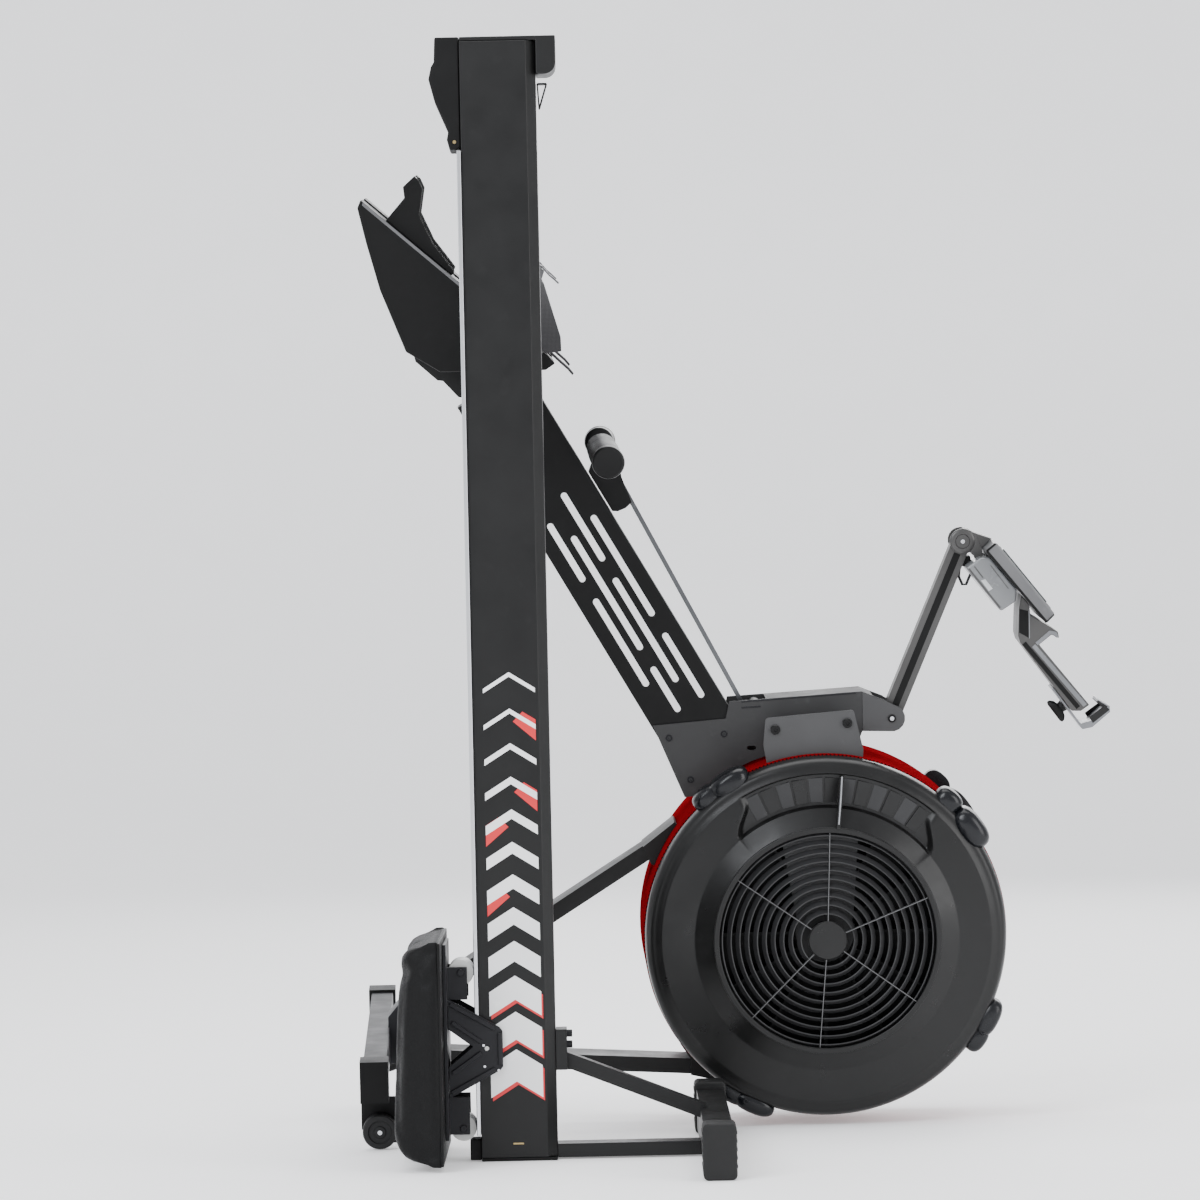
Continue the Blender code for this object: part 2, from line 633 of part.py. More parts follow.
def build_handle(frame):
    origin = on_axis(HANDLE)
    straight = HANDLE_STRAIGHT
    bar = slanted_rod(0.0095, -HANDLE_HALF_LENGTH, -straight, straight, HANDLE_HALF_LENGTH)
    along = (Vector(CHAIN_EXIT) - Vector(CHAIN_TOP)).normalized()
    yoke_end = Vector(HANDLE) + along * 0.0212
    yoke = prism(strip(HANDLE, yoke_end, 0.014), -0.009, 0.009)
    add("handle_bar", union(bar, yoke), "chrome", frame, origin, True)
    for name, side in (("near", -1), ("far", 1)):
        outside = slanted_rod(GRIP_RADIUS, side * straight, side * 0.240)
        bore = slanted_rod(0.0098, side * (straight - 0.010), side * (HANDLE_HALF_LENGTH + GAP))
        add(f"grip_{name}", cut(outside, bore), "rubber", frame, origin, True)
    chain = prism(strip(CHAIN_TOP, CHAIN_EXIT, 0.008), -0.0025, 0.0025)
    add("handle_chain", chain, "chain_steel", frame)

    prong = [
        (-0.0130, 0.8590), (-0.0040, 0.8830), (0.0120, 0.8840), (0.0180, 0.8920), (0.0230, 0.8900),
        (0.0296, 0.8522), (0.0421, 0.8194), (0.0340, 0.8120), (0.0237, 0.8080), (0.0165, 0.8085),
    ]
    base = [(-0.0130, 0.8590), (0.0100, 0.8560), (0.0250, 0.8250), (0.0200, 0.8090), (0.0165, 0.8085)]
    prongs = [sided_prism(prong, side, 0.012, 0.018) for side in (-1, 1)]
    holder = union(prism(base, -0.018, 0.018), *prongs)
    add("handle_holder", holder, "black_plastic", frame)


def build_foot_bracket(frame):
    along = (Vector(BEAM_HIGH) - Vector(BEAM_LOW)).normalized()
    plate_start = Vector(BEAM_HIGH) + along * GAP
    plate_end = plate_start + along * 0.004
    end_plate = prism(strip(plate_start, plate_end, BEAM_DEPTH), -BEAM_HALF_WIDTH, BEAM_HALF_WIDTH)
    cross_bar = rod((-0.1432, 0.9803), 0.011, -0.150, 0.150, 20)
    outline = [
        (-0.2361, 1.0195), (-0.2342, 1.0117), (-0.2065, 0.9870), (-0.1995, 0.9862),
        (-0.1800, 0.9650), (-0.1500, 0.9620), (-0.1000, 0.9800), (-0.0800, 0.9990),
        (-0.2030, 0.9990),
    ]
    plates = [sided_prism(outline, side, 0.100, 0.104) for side in (-1, 1)]
    add("foot_bracket", union(cross_bar, end_plate, *plates), "black_paint", frame)


def build_foot_rests(frame):
    plate = [
        tuple(HEEL), (-0.3030, 1.2100), (-0.2927, 1.1656), (-0.2765, 1.1055), (-0.2599, 1.0639),
        (-0.2452, 1.0264), (-0.2020, 1.0000), (-0.0679, 1.0001), (-0.0560, 1.0080),
        (-0.0623, 1.0153),
    ]
    skin = 0.005
    pocket = [
        (-0.1980, 0.9900), (-0.0800, 0.9900), foot_point(0.2850, -skin), foot_point(0.0150, -skin),
        (-0.2880, 1.1660), (-0.2720, 1.1070), (-0.2555, 1.0655), (-0.2415, 1.0295),
        (-0.1980, 1.0030),
    ]
    cup = [
        (0.0410, 0.0005), (0.0410, 0.0372), (0.0306, 0.0469), (0.0330, 0.0668), (0.0400, 0.0660),
        (0.0516, 0.0605), (0.0694, 0.0324), (0.1050, 0.0160), (0.1500, 0.0060), (0.1500, 0.0005),
    ]
    cup_hollow = [
        (0.0470, 0.0040), (0.0470, 0.0390), (0.0366, 0.0485), (0.0380, 0.0750), (0.1700, 0.0750),
        (0.1700, 0.0040),
    ]
    for name, side in (("near", -1), ("far", 1)):
        rest = sided_prism(plate, side, FOOT_INNER, FOOT_OUTER)
        rest = cut(rest, sided_prism(pocket, side, FOOT_INNER + 0.004, FOOT_OUTER - 0.004))
        add(f"foot_plate_{name}", rest, "black_plastic", frame)

        heel_cup = sided_prism([foot_point(*point) for point in cup], side, 0.070, 0.145)
        hollow = sided_prism([foot_point(*point) for point in cup_hollow], side, 0.073, 0.142)
        origin = on_axis(foot_point(0.041, 0.0), side * 0.1075)
        add(f"heel_cup_{name}", cut(heel_cup, hollow), "black_plastic", frame, origin)
        add(f"foot_strap_{name}", strap_shape(side), "webbing", frame)


def strap_shape(side):
    """A webbing band arched over the foot; it slants towards the heel as it rises."""
    middle = side * (FOOT_INNER + FOOT_OUTER) / 2
    half_span = 0.049
    thickness = 0.0025
    low = 0.0006
    steps = 14
    sections = []
    for step in range(steps + 1):
        angle = pi * step / steps
        section = []
        for inset, width in ((0.0, 0.0), (0.0, STRAP_WIDTH), (thickness, STRAP_WIDTH), (thickness, 0.0)):
            y = middle + (half_span - inset) * cos(angle)
            out = low + (STRAP_RISE - inset) * sin(angle)
            over = out - STRAP_BULGE
            slant = STRAP_SLANTS[1] if over > 0 else STRAP_SLANTS[0]
            point = foot_point(STRAP_FRONT - slant * abs(over) - width, out)
            section.append((point.x, y, point.y))
        sections.append(section)
    return loft(sections)


# ---------------------------------------------------------------- drive half: console
def build_console(frame):
    arm_along = Vector(CONSOLE_PIVOT) - Vector(ARM_PIVOT)
    heading = arm_along.angle_signed(Vector((1.0, 0.0))) * 180.0 / pi
    half = ARM_WIDTH / 2
    outline = arc(ARM_PIVOT, half, heading + 90.0, heading + 270.0, 8)
    outline += arc(CONSOLE_PIVOT, half, heading - 90.0, heading + 90.0, 8)
    arm = prism(outline, -ARM_HALF_THICKNESS, ARM_HALF_THICKNESS)
    pins = [rod(pivot, PIN_HOLE, -0.05, 0.05, 16) for pivot in (ARM_PIVOT, CONSOLE_PIVOT)]
    add("console_arm", cut(arm, *pins), "grey_paint", frame, on_axis(ARM_PIVOT))

    origin = on_axis(CONSOLE_PIVOT)
    bracket = arc(CONSOLE_PIVOT, 0.0167, 50.0, 290.0, 12) + [(0.4975, 0.7505), (0.5112, 0.7622)]
    slot = arc(CONSOLE_PIVOT, 0.0150, -50.0, 60.0, 6)
    slot += [(0.450, 0.790), (0.450, 0.720), (0.484, 0.740)]
    slot_half = ARM_HALF_THICKNESS + 0.0004
    head = cut(
        prism(bracket, -0.0175, 0.0175),
        prism(slot, -slot_half, slot_half),
        rod(CONSOLE_PIVOT, PIN_HOLE, -0.05, 0.05, 16),
    )
    add("head_bracket", head, "black_plastic", frame, origin)

    top = Vector((0.5121, 0.7616))
    bottom = Vector((0.5880, 0.6658))
    housing = [top, bottom, (0.5759, 0.6540), (0.4980, 0.7498)]
    add("display_housing", prism(housing, -0.070, 0.070), "grey_plastic", frame, origin)
    along = bottom - top
    out = Vector((-along.y, along.x)).normalized()
    panel = [
        top + along * 0.12 + out * GAP, top + along * 0.85 + out * GAP,
        top + along * 0.85 + out * 0.0023, top + along * 0.12 + out * 0.0023,
    ]
    add("display_screen", prism(panel, -0.055, 0.055), "screen_glass", frame, origin)

    battery = [
        (0.4745, 0.7265), (0.5190, 0.6693), (0.5385, 0.6820), (0.5405, 0.6968),
        (0.5055, 0.7399), (0.4930, 0.7400),
    ]
    add("battery_box", prism(battery, -0.050, 0.050), "clear_grey_plastic", frame, origin)


def build_tablet_rest(frame):
    origin = on_axis(CONSOLE_PIVOT)
    holder = [
        (0.5475, 0.6880), (0.5440, 0.6717), (0.5426, 0.6357), tuple(HOLDER_TOP), (0.6116, 0.5357),
        (0.6236, 0.5354), (0.6347, 0.5432), (0.5700, 0.6235), (0.5860, 0.6360), (0.5962, 0.6325),
        (0.5945, 0.6400), (0.5850, 0.6465), (0.5590, 0.6625), (0.5575, 0.6755),
    ]
    add("tablet_holder", prism(holder, -0.035, 0.035), "aluminium", frame, origin)

    clamp = [
        holder_point(0.075, 0.0004), holder_point(0.075, 0.0034), holder_point(0.142, 0.0034),
        (0.6394, 0.5125), (0.6630, 0.5322), (0.6625, 0.5400), (0.6470, 0.5490), (0.6455, 0.5460),
        (0.6560, 0.5370), (0.6380, 0.5215), holder_point(0.135, 0.0004),
    ]
    clamp_origin = on_axis(holder_point(0.105, 0.002))
    add("tablet_clamp", prism(clamp, -0.025, 0.025), "aluminium", frame, clamp_origin)

    knob_start = holder_point(0.105, 0.0037)
    knob_end = holder_point(0.105, 0.0160)
    knob = knob_shape(knob_start, knob_end, 0.013)
    add("clamp_knob", knob, "black_plastic", frame, on_axis(knob_start), True)


def knob_shape(start, end, radius):
    """A round knob whose axis lies in the XZ plane."""
    axis = (end - start).normalized()
    sections = []
    for point in (start, end):
        section = []
        for side in range(ROUND):
            turn = 2 * pi * side / ROUND
            in_plane = radius * cos(turn)
            section.append((
                point.x - axis.y * in_plane, radius * sin(turn), point.y + axis.x * in_plane,
            ))
        sections.append(section)
    return loft(sections)


# ---------------------------------------------------------------- assembly
def build_seat_half():
    frame = make_frame("seat_half_frame", RAIL_FOOT)
    build_rail(frame)
    build_stops(frame)
    build_rear_stand(frame)
    build_seat(frame)
    build_rollers(frame)


def build_drive_half():
    frame = make_frame("drive_half_frame", DRIVE_FOOT, (DRIVE_LEAN, 0.0, DRIVE_TURN))
    build_beam(frame)
    build_fan_frame(frame)
    build_mount_plates(frame)
    build_fan(frame)
    build_covers(frame)
    build_damper(frame)
    build_front_legs(frame)
    build_front_feet(frame)
    build_handle(frame)
    build_foot_bracket(frame)
    build_foot_rests(frame)
    build_console(frame)
    build_tablet_rest(frame)


clear_scene()
build_seat_half()
build_drive_half()
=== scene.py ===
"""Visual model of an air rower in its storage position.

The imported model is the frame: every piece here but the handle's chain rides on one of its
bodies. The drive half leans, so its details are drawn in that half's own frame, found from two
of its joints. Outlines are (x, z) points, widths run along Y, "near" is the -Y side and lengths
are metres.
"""

import json
from math import atan2, copysign, cos, exp, hypot, pi, radians, sin

import bmesh
import bpy
from mathutils import Matrix, Vector

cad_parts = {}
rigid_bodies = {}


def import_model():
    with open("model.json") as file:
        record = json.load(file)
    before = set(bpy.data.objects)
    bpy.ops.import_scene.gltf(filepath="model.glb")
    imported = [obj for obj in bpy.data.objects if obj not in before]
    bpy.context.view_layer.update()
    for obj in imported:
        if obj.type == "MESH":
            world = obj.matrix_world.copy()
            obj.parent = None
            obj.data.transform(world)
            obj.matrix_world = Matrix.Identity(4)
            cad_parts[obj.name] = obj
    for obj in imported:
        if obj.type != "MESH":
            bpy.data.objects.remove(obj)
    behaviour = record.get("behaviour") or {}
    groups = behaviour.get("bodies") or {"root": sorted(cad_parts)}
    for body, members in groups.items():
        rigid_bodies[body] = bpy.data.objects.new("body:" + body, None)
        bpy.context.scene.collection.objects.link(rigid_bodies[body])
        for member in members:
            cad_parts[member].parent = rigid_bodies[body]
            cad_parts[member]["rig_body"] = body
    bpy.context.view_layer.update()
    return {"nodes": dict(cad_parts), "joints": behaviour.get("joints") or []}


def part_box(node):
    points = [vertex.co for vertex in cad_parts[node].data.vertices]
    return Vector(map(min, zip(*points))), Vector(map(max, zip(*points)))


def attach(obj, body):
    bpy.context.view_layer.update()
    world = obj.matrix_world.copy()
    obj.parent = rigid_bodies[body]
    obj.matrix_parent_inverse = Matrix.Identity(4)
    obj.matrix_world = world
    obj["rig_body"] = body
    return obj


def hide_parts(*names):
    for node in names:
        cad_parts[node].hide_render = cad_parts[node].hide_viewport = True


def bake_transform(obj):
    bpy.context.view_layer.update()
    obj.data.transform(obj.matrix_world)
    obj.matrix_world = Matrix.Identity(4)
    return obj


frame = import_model()

# ---- sizes shared with the frame
FAN = (0.2815, 0.256)
ARM_PIVOT = (0.3762, 0.531)
CONSOLE_PIVOT = (0.4731, 0.7594)
HANDLE = (0.003, 0.894)
CHAIN_TOP = (0.0134, 0.8741)
CHAIN_EXIT = (0.1807, 0.555)
WHEEL_CENTRE = (-0.298, 0.0475)
MOUNT_BOLTS = ((0.2214, 0.5241), (0.315, 0.5307))
HANDLE_STRAIGHT = 0.07
HANDLE_SWEEP = 0.059
LUGS = (  # angle, half-length, half-height and face of each rounded lobe
    (121, 0.028, 0.015, 0.116), (129.5, 0.02, 0.014, 0.111),
    (36, 0.03, 0.017, 0.122), (47, 0.019, 0.015, 0.114),
    (-28, 0.026, 0.014, 0.114), (-35.5, 0.019, 0.013, 0.11),
    (-114, 0.028, 0.013, 0.112), (-122, 0.023, 0.0125, 0.108),
)
LUG_REACH = 0.2517
LUG_SCREWS = (125.2, 38, -32.4, -117)
HEEL = Vector((-0.2986, 1.2202))
FOOT_ALONG = Vector((0.7556, -0.655))
FOOT_OUT = Vector((0.655, 0.7556))
FOOT_MIDDLE = 0.1075
RAIL_FACE = -0.033
BEAM_FACE = -0.03
SECTOR = (48.5, 120)  # recessed damper window in the near cover, in degrees
LINK = 0.0095  # length of a chain link
SIDES = ((-1, "near"), (1, "far"))
SHARP = radians(34)  # edges sharper than this stay crisp or get a bevel


def joint(name):
    return next(j for j in frame["joints"] if j["name"] == name)


def rail_frame():
    """The seat half's frame stands at the foot of the rail."""
    half_depth = 0.0442
    low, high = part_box("rail_beam")
    return Matrix.Translation((low.x + half_depth, (low.y + high.y) / 2, 0))


def drive_frame():
    """The drive half's frame, from the fan axle and the console arm's pivot."""
    fan = Vector(joint("flywheel_spin")["pos_m"])
    side = Vector(joint("flywheel_spin")["axis"]).normalized()
    pivot = Vector(joint("arm_turn")["pos_m"])
    across = (pivot - fan).normalized()
    drawn_across = Vector((ARM_PIVOT[0] - FAN[0], 0, ARM_PIVOT[1] - FAN[1])).normalized()
    drawn_side = Vector((0, 1, 0))
    drawn = Matrix((drawn_across, drawn_side, drawn_across.cross(drawn_side))).transposed()
    real = Matrix((across, side, across.cross(side))).transposed()
    turn = (real @ drawn.inverted()).to_4x4()
    return Matrix.Translation(fan) @ turn @ Matrix.Translation((-FAN[0], 0, -FAN[1]))


RAIL = rail_frame()
DRIVE = drive_frame()
FAN_PLACE = DRIVE @ Matrix.Translation((FAN[0], 0, FAN[1]))


# ---- materials
class Shader:
    """Adds linked nodes to one material."""

    def __init__(self, name):
        self.material = bpy.data.materials.new(f"{name}_finish")
        self.material.use_nodes = True
        self.tree = self.material.node_tree
        self.surface = self.tree.nodes["Principled BSDF"]
        self.coords = self.tree.nodes.new("ShaderNodeTexCoord").outputs["Object"]

    def node(self, kind, inputs=(), **settings):
        node = self.tree.nodes.new(kind)
        for key, value in settings.items():
            setattr(node, key, value)
        for key, value in dict(inputs).items():
            self.set(node.inputs[key], value)
        return node

    def set(self, socket, value):
        if isinstance(value, bpy.types.NodeSocket):
            self.tree.links.new(value, socket)
        else:
            socket.default_value = value

    def math(self, operation, first, second=0):
        node = self.node("ShaderNodeMath", operation=operation)
        self.set(node.inputs[0], first)
        self.set(node.inputs[1], second)
        return node.outputs[0]

    def noise(self, scale, detail=3, stretch=None):
        vector = self.coords
        if stretch:
            mapping = self.node("ShaderNodeMapping", {"Vector": vector, "Scale": stretch})
            vector = mapping.outputs["Vector"]
        inputs = {"Vector": vector, "Scale": scale, "Detail": detail}
        return self.node("ShaderNodeTexNoise", inputs).outputs["Fac"]

    def remap(self, value, low, high, to_low, to_high):
        inputs = {
            "Value": value, "From Min": low, "From Max": high, "To Min": to_low, "To Max": to_high,
        }
        return self.node("ShaderNodeMapRange", inputs).outputs["Result"]

    def patches(self, scale, detail, low=0, high=1, stretch=None):
        """Soft uneven patches between two values."""
        return self.remap(self.noise(scale, detail, stretch), 0.3, 0.7, low, high)

    def look(self, inputs):
        """Set or link inputs of the surface."""
        for key, value in inputs.items():
            self.set(self.surface.inputs[key], value)

    def blend(self, factor, first, second):
        node = self.node("ShaderNodeMix", data_type="RGBA")
        self.set(node.inputs["Factor"], factor)
        self.set(node.inputs[6], first)
        self.set(node.inputs[7], second)
        return node.outputs[2]

    def bump(self, height, strength, distance=0.0005):
        inputs = {"Height": height, "Strength": strength, "Distance": distance}
        self.look({"Normal": self.node("ShaderNodeBump", inputs).outputs["Normal"]})


SMEAR = 0.07  # how far handling marks shift a surface's roughness


def shade(colour, factor):
    return tuple(min(1, channel * factor) for channel in colour) + (1,)


def finish(name, colour, roughness, metallic=0, grain=1400, bump=0.1, mottle=0.12, stretch=None,
           coat=0, specular=0.5):
    """A painted, moulded or bare surface: fine grain, uneven tone, handling marks and dull spots."""
    shader = Shader(name)
    tone = shader.patches(9, 4, stretch=stretch)
    base = shader.blend(tone, shade(colour, 1 - mottle), shade(colour, 1 + mottle))
    marks = shader.remap(shader.noise(48, 8), 0.62, 0.74, 0, 0.35)
    shader.look({
        "Base Color": shader.blend(marks, base, shade(colour, 1.7)),
        "Roughness": shader.patches(26, 6, roughness - SMEAR, roughness + SMEAR, stretch),
        "Metallic": metallic, "Coat Weight": coat, "Coat Roughness": 0.18, "Specular IOR Level": specular,
    })
    shader.bump(shader.noise(grain, 3, stretch), bump)
    return shader.material


def leather_material(name, colour):
    """Synthetic leather: creased cells with fine pores, the creases painted darker as shade."""
    shader = Shader(name)
    cells = shader.node(
        "ShaderNodeTexVoronoi", {"Vector": shader.coords, "Scale": 420},
        feature="DISTANCE_TO_EDGE",
    ).outputs["Distance"]
    crease_depth_and_shade = shader.remap(cells, 0, 0.22, 0, 1)
    pores = shader.noise(2400, 2)
    height = shader.math("ADD", crease_depth_and_shade, shader.math("MULTIPLY", pores, 0.35))
    base = shader.blend(shader.patches(14, 5), shade(colour, 0.85), shade(colour, 1.2))
    shader.look({
        # the creases are painted darker here as shade; the same mask sinks them in the bump
        "Base Color": shader.blend(crease_depth_and_shade, shade(colour, 0.55), base),
        "Roughness": shader.remap(crease_depth_and_shade, 0, 1, 0.62, 0.42), "Specular IOR Level": 0.16,
    })
    shader.bump(height, 0.35, 0.0004)
    return shader.material


def webbing_material(name, colour):
    """Woven strap: two crossed sets of ribs, painted lighter on their crests as highlight and darker between
    them as shade.
    """
    shader = Shader(name)
    ribs = []
    for direction in ("X", "Z"):
        wave = shader.node(
            "ShaderNodeTexWave", {"Vector": shader.coords, "Scale": 190, "Distortion": 0.4},
            bands_direction=direction,
        )
        ribs.append(wave.outputs["Fac"])
    weave_relief_and_shade = shader.math("MULTIPLY", ribs[0], ribs[1])
    fuzz = shader.noise(1800, 4)
    height = shader.math("ADD", weave_relief_and_shade, shader.math("MULTIPLY", fuzz, 0.3))
    # raised threads painted lighter as highlight, the gaps between them darker as shade
    base = shader.blend(weave_relief_and_shade, shade(colour, 0.6), shade(colour, 1.7))
    shader.look({"Base Color": base, "Roughness": 0.85, "Sheen Weight": 0.25})
    shader.bump(height, 0.5, 0.0006)
    return shader.material


def perforated_material(name, colour):
    """A band with rows of round holes, painted near-black: partly the dark parts behind them, partly painted
    shade; its piece's own axes run through the fan.
    """
    shader = Shader(name)
    parts = shader.node("ShaderNodeSeparateXYZ", {"Vector": shader.coords}).outputs
    angle = shader.math("ARCTAN2", parts["Z"], parts["X"])
    spacing = 0.0052
    row = shader.math("MULTIPLY", parts["Y"], 1 / spacing)
    around = shader.math("MULTIPLY", angle, 0.235 / spacing)
    odd = shader.math("MULTIPLY", shader.math("MODULO", shader.math("FLOOR", row), 2), 0.5)
    across = shader.math("SUBTRACT", shader.math("FRACT", shader.math("ADD", around, odd)), 0.5)
    along = shader.math("SUBTRACT", shader.math("FRACT", row), 0.5)
    square = shader.math("ADD", shader.math("POWER", across, 2), shader.math("POWER", along, 2))
    sheet_metal = shader.remap(shader.math("SQRT", square), 0.26, 0.32, 0, 1)
    base = shader.blend(shader.patches(12, 4), shade(colour, 0.85), shade(colour, 1.15))
    shader.look({
        # the holes are painted near-black: the dark inside seen through them, with painted shade
        "Base Color": shader.blend(sheet_metal, shade(colour, 0.06), base),
        "Roughness": shader.remap(sheet_metal, 0, 1, 0.8, 0.4), "Specular IOR Level": 0,
    })
    shader.bump(sheet_metal, 0.6, 0.0008)
    return shader.material


def screen_material(name):
    """Dark display glass with faint horizontal cells."""
    shader = Shader(name)
    parts = shader.node("ShaderNodeSeparateXYZ", {"Vector": shader.coords}).outputs
    cells = shader.math("FRACT", shader.math("MULTIPLY", parts["Z"], 1 / 0.012))
    line = shader.remap(cells, 0.9, 0.94, 0, 1)
    smudge = shader.remap(shader.noise(30, 5), 0.4, 0.7, 0, 0.5)
    glass = shader.blend(smudge, (0.012, 0.016, 0.018, 1), (0.03, 0.038, 0.04, 1))
    shader.look({
        "Base Color": shader.blend(line, glass, (0.05, 0.06, 0.06, 1)),
        "Roughness": shader.remap(smudge, 0, 0.5, 0.07, 0.22),
    })
    return shader.material


BRUSHED = (1, 1, 0.04)
DULL = 0.26
PAINT = finish("black_paint", (0.0075,) * 3, 0.4, grain=2200, bump=0.16, specular=DULL)
DARK_STEEL = finish("dark_steel", (0.013, 0.013, 0.015), 0.4, 0.2, 2200, specular=DULL)
HOUSING = finish("housing", (0.044, 0.044, 0.0445), 0.5, grain=2200, specular=0.08)
PLATE = finish("plate", (0.062, 0.062, 0.063), 0.42, 0.2, 2200, specular=0.2)
CHAIN_STEEL = finish("chain", (0.11, 0.112, 0.117), 0.36, 1, grain=600)
STAINLESS = finish("stainless", (0.66, 0.67, 0.69), 0.27, 1, 900, 0.12, stretch=BRUSHED)
BRIGHT = finish("bright_steel", (0.62, 0.63, 0.65), 0.22, 1, grain=700, bump=0.05)
BRASS = finish("brass", (0.5, 0.38, 0.18), 0.32, 1, grain=700, bump=0.05)
GREY_PAINT = finish("grey_paint", (0.068, 0.0665, 0.065), 0.38, 0.55, grain=2400)
PLASTIC = finish("black_plastic", (0.0045,) * 3, 0.46, grain=1500, bump=0.22, specular=0.16)
COVER = finish("cover_plastic", (0.0065,) * 3, 0.33, grain=1900, bump=0.09, specular=0.3)
GLOSS_BLACK = finish("gloss_black", (0.005, 0.0055, 0.007), 0.24, bump=0.05, specular=0.3)
HUB_GREY = finish("hub_plastic", (0.025, 0.025, 0.026), 0.42, grain=1500, specular=0.3)
GREY_PLASTIC = finish("grey_plastic", (0.115, 0.115, 0.118), 0.38, 0.3, bump=0.12)
PALE_PLASTIC = finish("pale_plastic", (0.46, 0.47, 0.48), 0.34, bump=0.08)
SMOKE = finish("smoke_plastic", (0.155, 0.16, 0.165), 0.24, bump=0.05, coat=0.3)
WHITE_PLASTIC = finish("roller", (0.62, 0.62, 0.6), 0.42, mottle=0.05)
RUBBER = finish("rubber", (0.008,) * 3, 0.62, grain=1100, bump=0.35, specular=0.3)
GRIP = finish("grip", (0.004,) * 3, 0.34, grain=1300, bump=0.15, specular=0.22)
SILVER = finish("silver", (0.21, 0.215, 0.225), 0.33, 1, 800, 0.1, stretch=BRUSHED)
WHITE_PRINT = finish("white_print", (0.84, 0.84, 0.84), 0.45, mottle=0.03, bump=0.04)
RED_PRINT = finish("red_print", (0.6, 0.016, 0.022), 0.42, mottle=0.06, bump=0.04)
SEAT_COVER = leather_material("seat_cover", (0.0025, 0.0025, 0.0027))
WEBBING = webbing_material("webbing", (0.022, 0.021, 0.023))
RED_BAND = perforated_material("red_band", (0.22, 0.005, 0.009))
SCREEN = screen_material("screen")


# ---- shapes
def spot(centre, radius, angle):
    """A point on a circle, by its angle in degrees."""
    return centre[0] + radius * cos(radians(angle)), centre[1] + radius * sin(radians(angle))


def arc(centre, radius, first, last, steps):
    return [spot(centre, radius, first + (last - first) * step / steps) for step in range(steps + 1)]


def turns(count):
    """Angles evenly spaced round a circle."""
    return [2 * pi * i / count for i in range(count)]


def strip(start, end, thickness):
    start, end = Vector(start), Vector(end)
    along = (end - start).normalized()
    across = Vector((-along.y, along.x)) * thickness / 2
    return [start - across, end - across, end + across, start + across]


def rectangle(left, right, low, high):
    return [(left, low), (right, low), (right, high), (left, high)]


def sided(profile, side):
    """A (radius, y) profile taken to one side."""
    return [(radius, side * y) for radius, y in profile]


def bridge(lower, upper, shape):
    """Faces between two equal closed rings."""
    for i in range(len(lower)):
        j = (i + 1) % len(lower)
        shape.faces.new((lower[i], lower[j], upper[j], upper[i]))


def sheet(rows, shape):
    """Faces between equal open rows."""
    for lower, upper in zip(rows, rows[1:]):
        for i in range(len(lower) - 1):
            shape.faces.new((lower[i], lower[i + 1], upper[i + 1], upper[i]))


def loft(sections, shape=None):
    """Skin a row of equal closed sections and cap both ends."""
    shape = shape or bmesh.new()
    rings = [[shape.verts.new(point) for point in section] for section in sections]
    for lower, upper in zip(rings, rings[1:]):
        bridge(lower, upper, shape)
    shape.faces.new(rings[0])
    shape.faces.new(rings[-1])
    return shape


def prism(outline, y_first, y_last, shape=None):
    return loft([[(x, y, z) for x, z in outline] for y in (y_first, y_last)], shape)


def mirrored_prism(outline, inner, outer, shape=None):
    """The same outline on both sides."""
    for side, _ in SIDES:
        shape = prism(outline, side * inner, side * outer, shape)
    return shape


def mirrored_lines(lines, inner, outer):
    """Straight ribs, each a start, an end and a width, on both sides."""
    shape = bmesh.new()
    for start, end, width in lines:
        mirrored_prism(strip(start, end, width), inner, outer, shape)
    return shape


def slab(place, outline, y_first, y_last, shape=None):
    """A prism whose (along, out) outline is placed by a function."""
    return loft([[place(along, out, y) for along, out in outline] for y in (y_first, y_last)], shape)


def turned(profile, centre=(0, 0), segments=48, shape=None, height=None):
    """Turn a closed (radius, y) profile about a Y line.

    centre may be a function of y, and height may shift y by angle and radius.
    """
    shape = shape or bmesh.new()
    rings = []
    for radius, y in profile:
        count = segments if radius > 0 else 1
        middle = centre(y) if callable(centre) else centre
        loop = []
        for turn in turns(count):
            shift = height(turn, radius) if height else 0
            x = middle[0] + radius * cos(turn)
            loop.append(shape.verts.new((x, y + shift, middle[1] + radius * sin(turn))))
        rings.append(loop)
    for lower, upper in zip(rings, rings[1:] + rings[:1]):
        if len(lower) == 1 and len(upper) == 1:
            continue
        for i in range(segments):
            j = i + 1
            corners = (
                lower[i % len(lower)], lower[j % len(lower)],
                upper[j % len(upper)], upper[i % len(upper)],
            )
            shape.faces.new(list(dict.fromkeys(corners)))
    return shape


def bolt_shapes(centres, y, side, radius, height, shape=None):
    """Cap screws standing off a face; sizes below zero shape the walls of a hexagon socket."""
    levels = ((radius, 0), (radius, 0.8), (radius * 0.9, 1), (-radius * 0.55, 1), (-radius * 0.5, 0.4))
    for x, z in centres:
        sections = []
        for size, rise in levels:
            section = []
            for turn in turns(24):
                reach = size
                if size < 0:
                    reach = -size * cos(pi / 6) / cos(turn % (pi / 3) - pi / 6)
                section.append((x + reach * cos(turn), y + side * height * rise, z + reach * sin(turn)))
            sections.append(section)
        shape = loft(sections, shape)
    return shape


def tube_shape(points, radius, sides=12, shape=None):
    """A round tube through points in space."""
    points = [Vector(point) for point in points]
    sections = []
    for i, point in enumerate(points):
        before = points[max(i - 1, 0)]
        after = points[min(i + 1, len(points) - 1)]
        along = (after - before).normalized()
        across = along.cross(Vector((0, 1, 0)))
        if across.length < 0.1:
            across = along.cross(Vector((1, 0, 0)))
        across.normalize()
        up = along.cross(across)
        sections.append([point + across * radius * cos(t) + up * radius * sin(t) for t in turns(sides)])
    return loft(sections, shape)


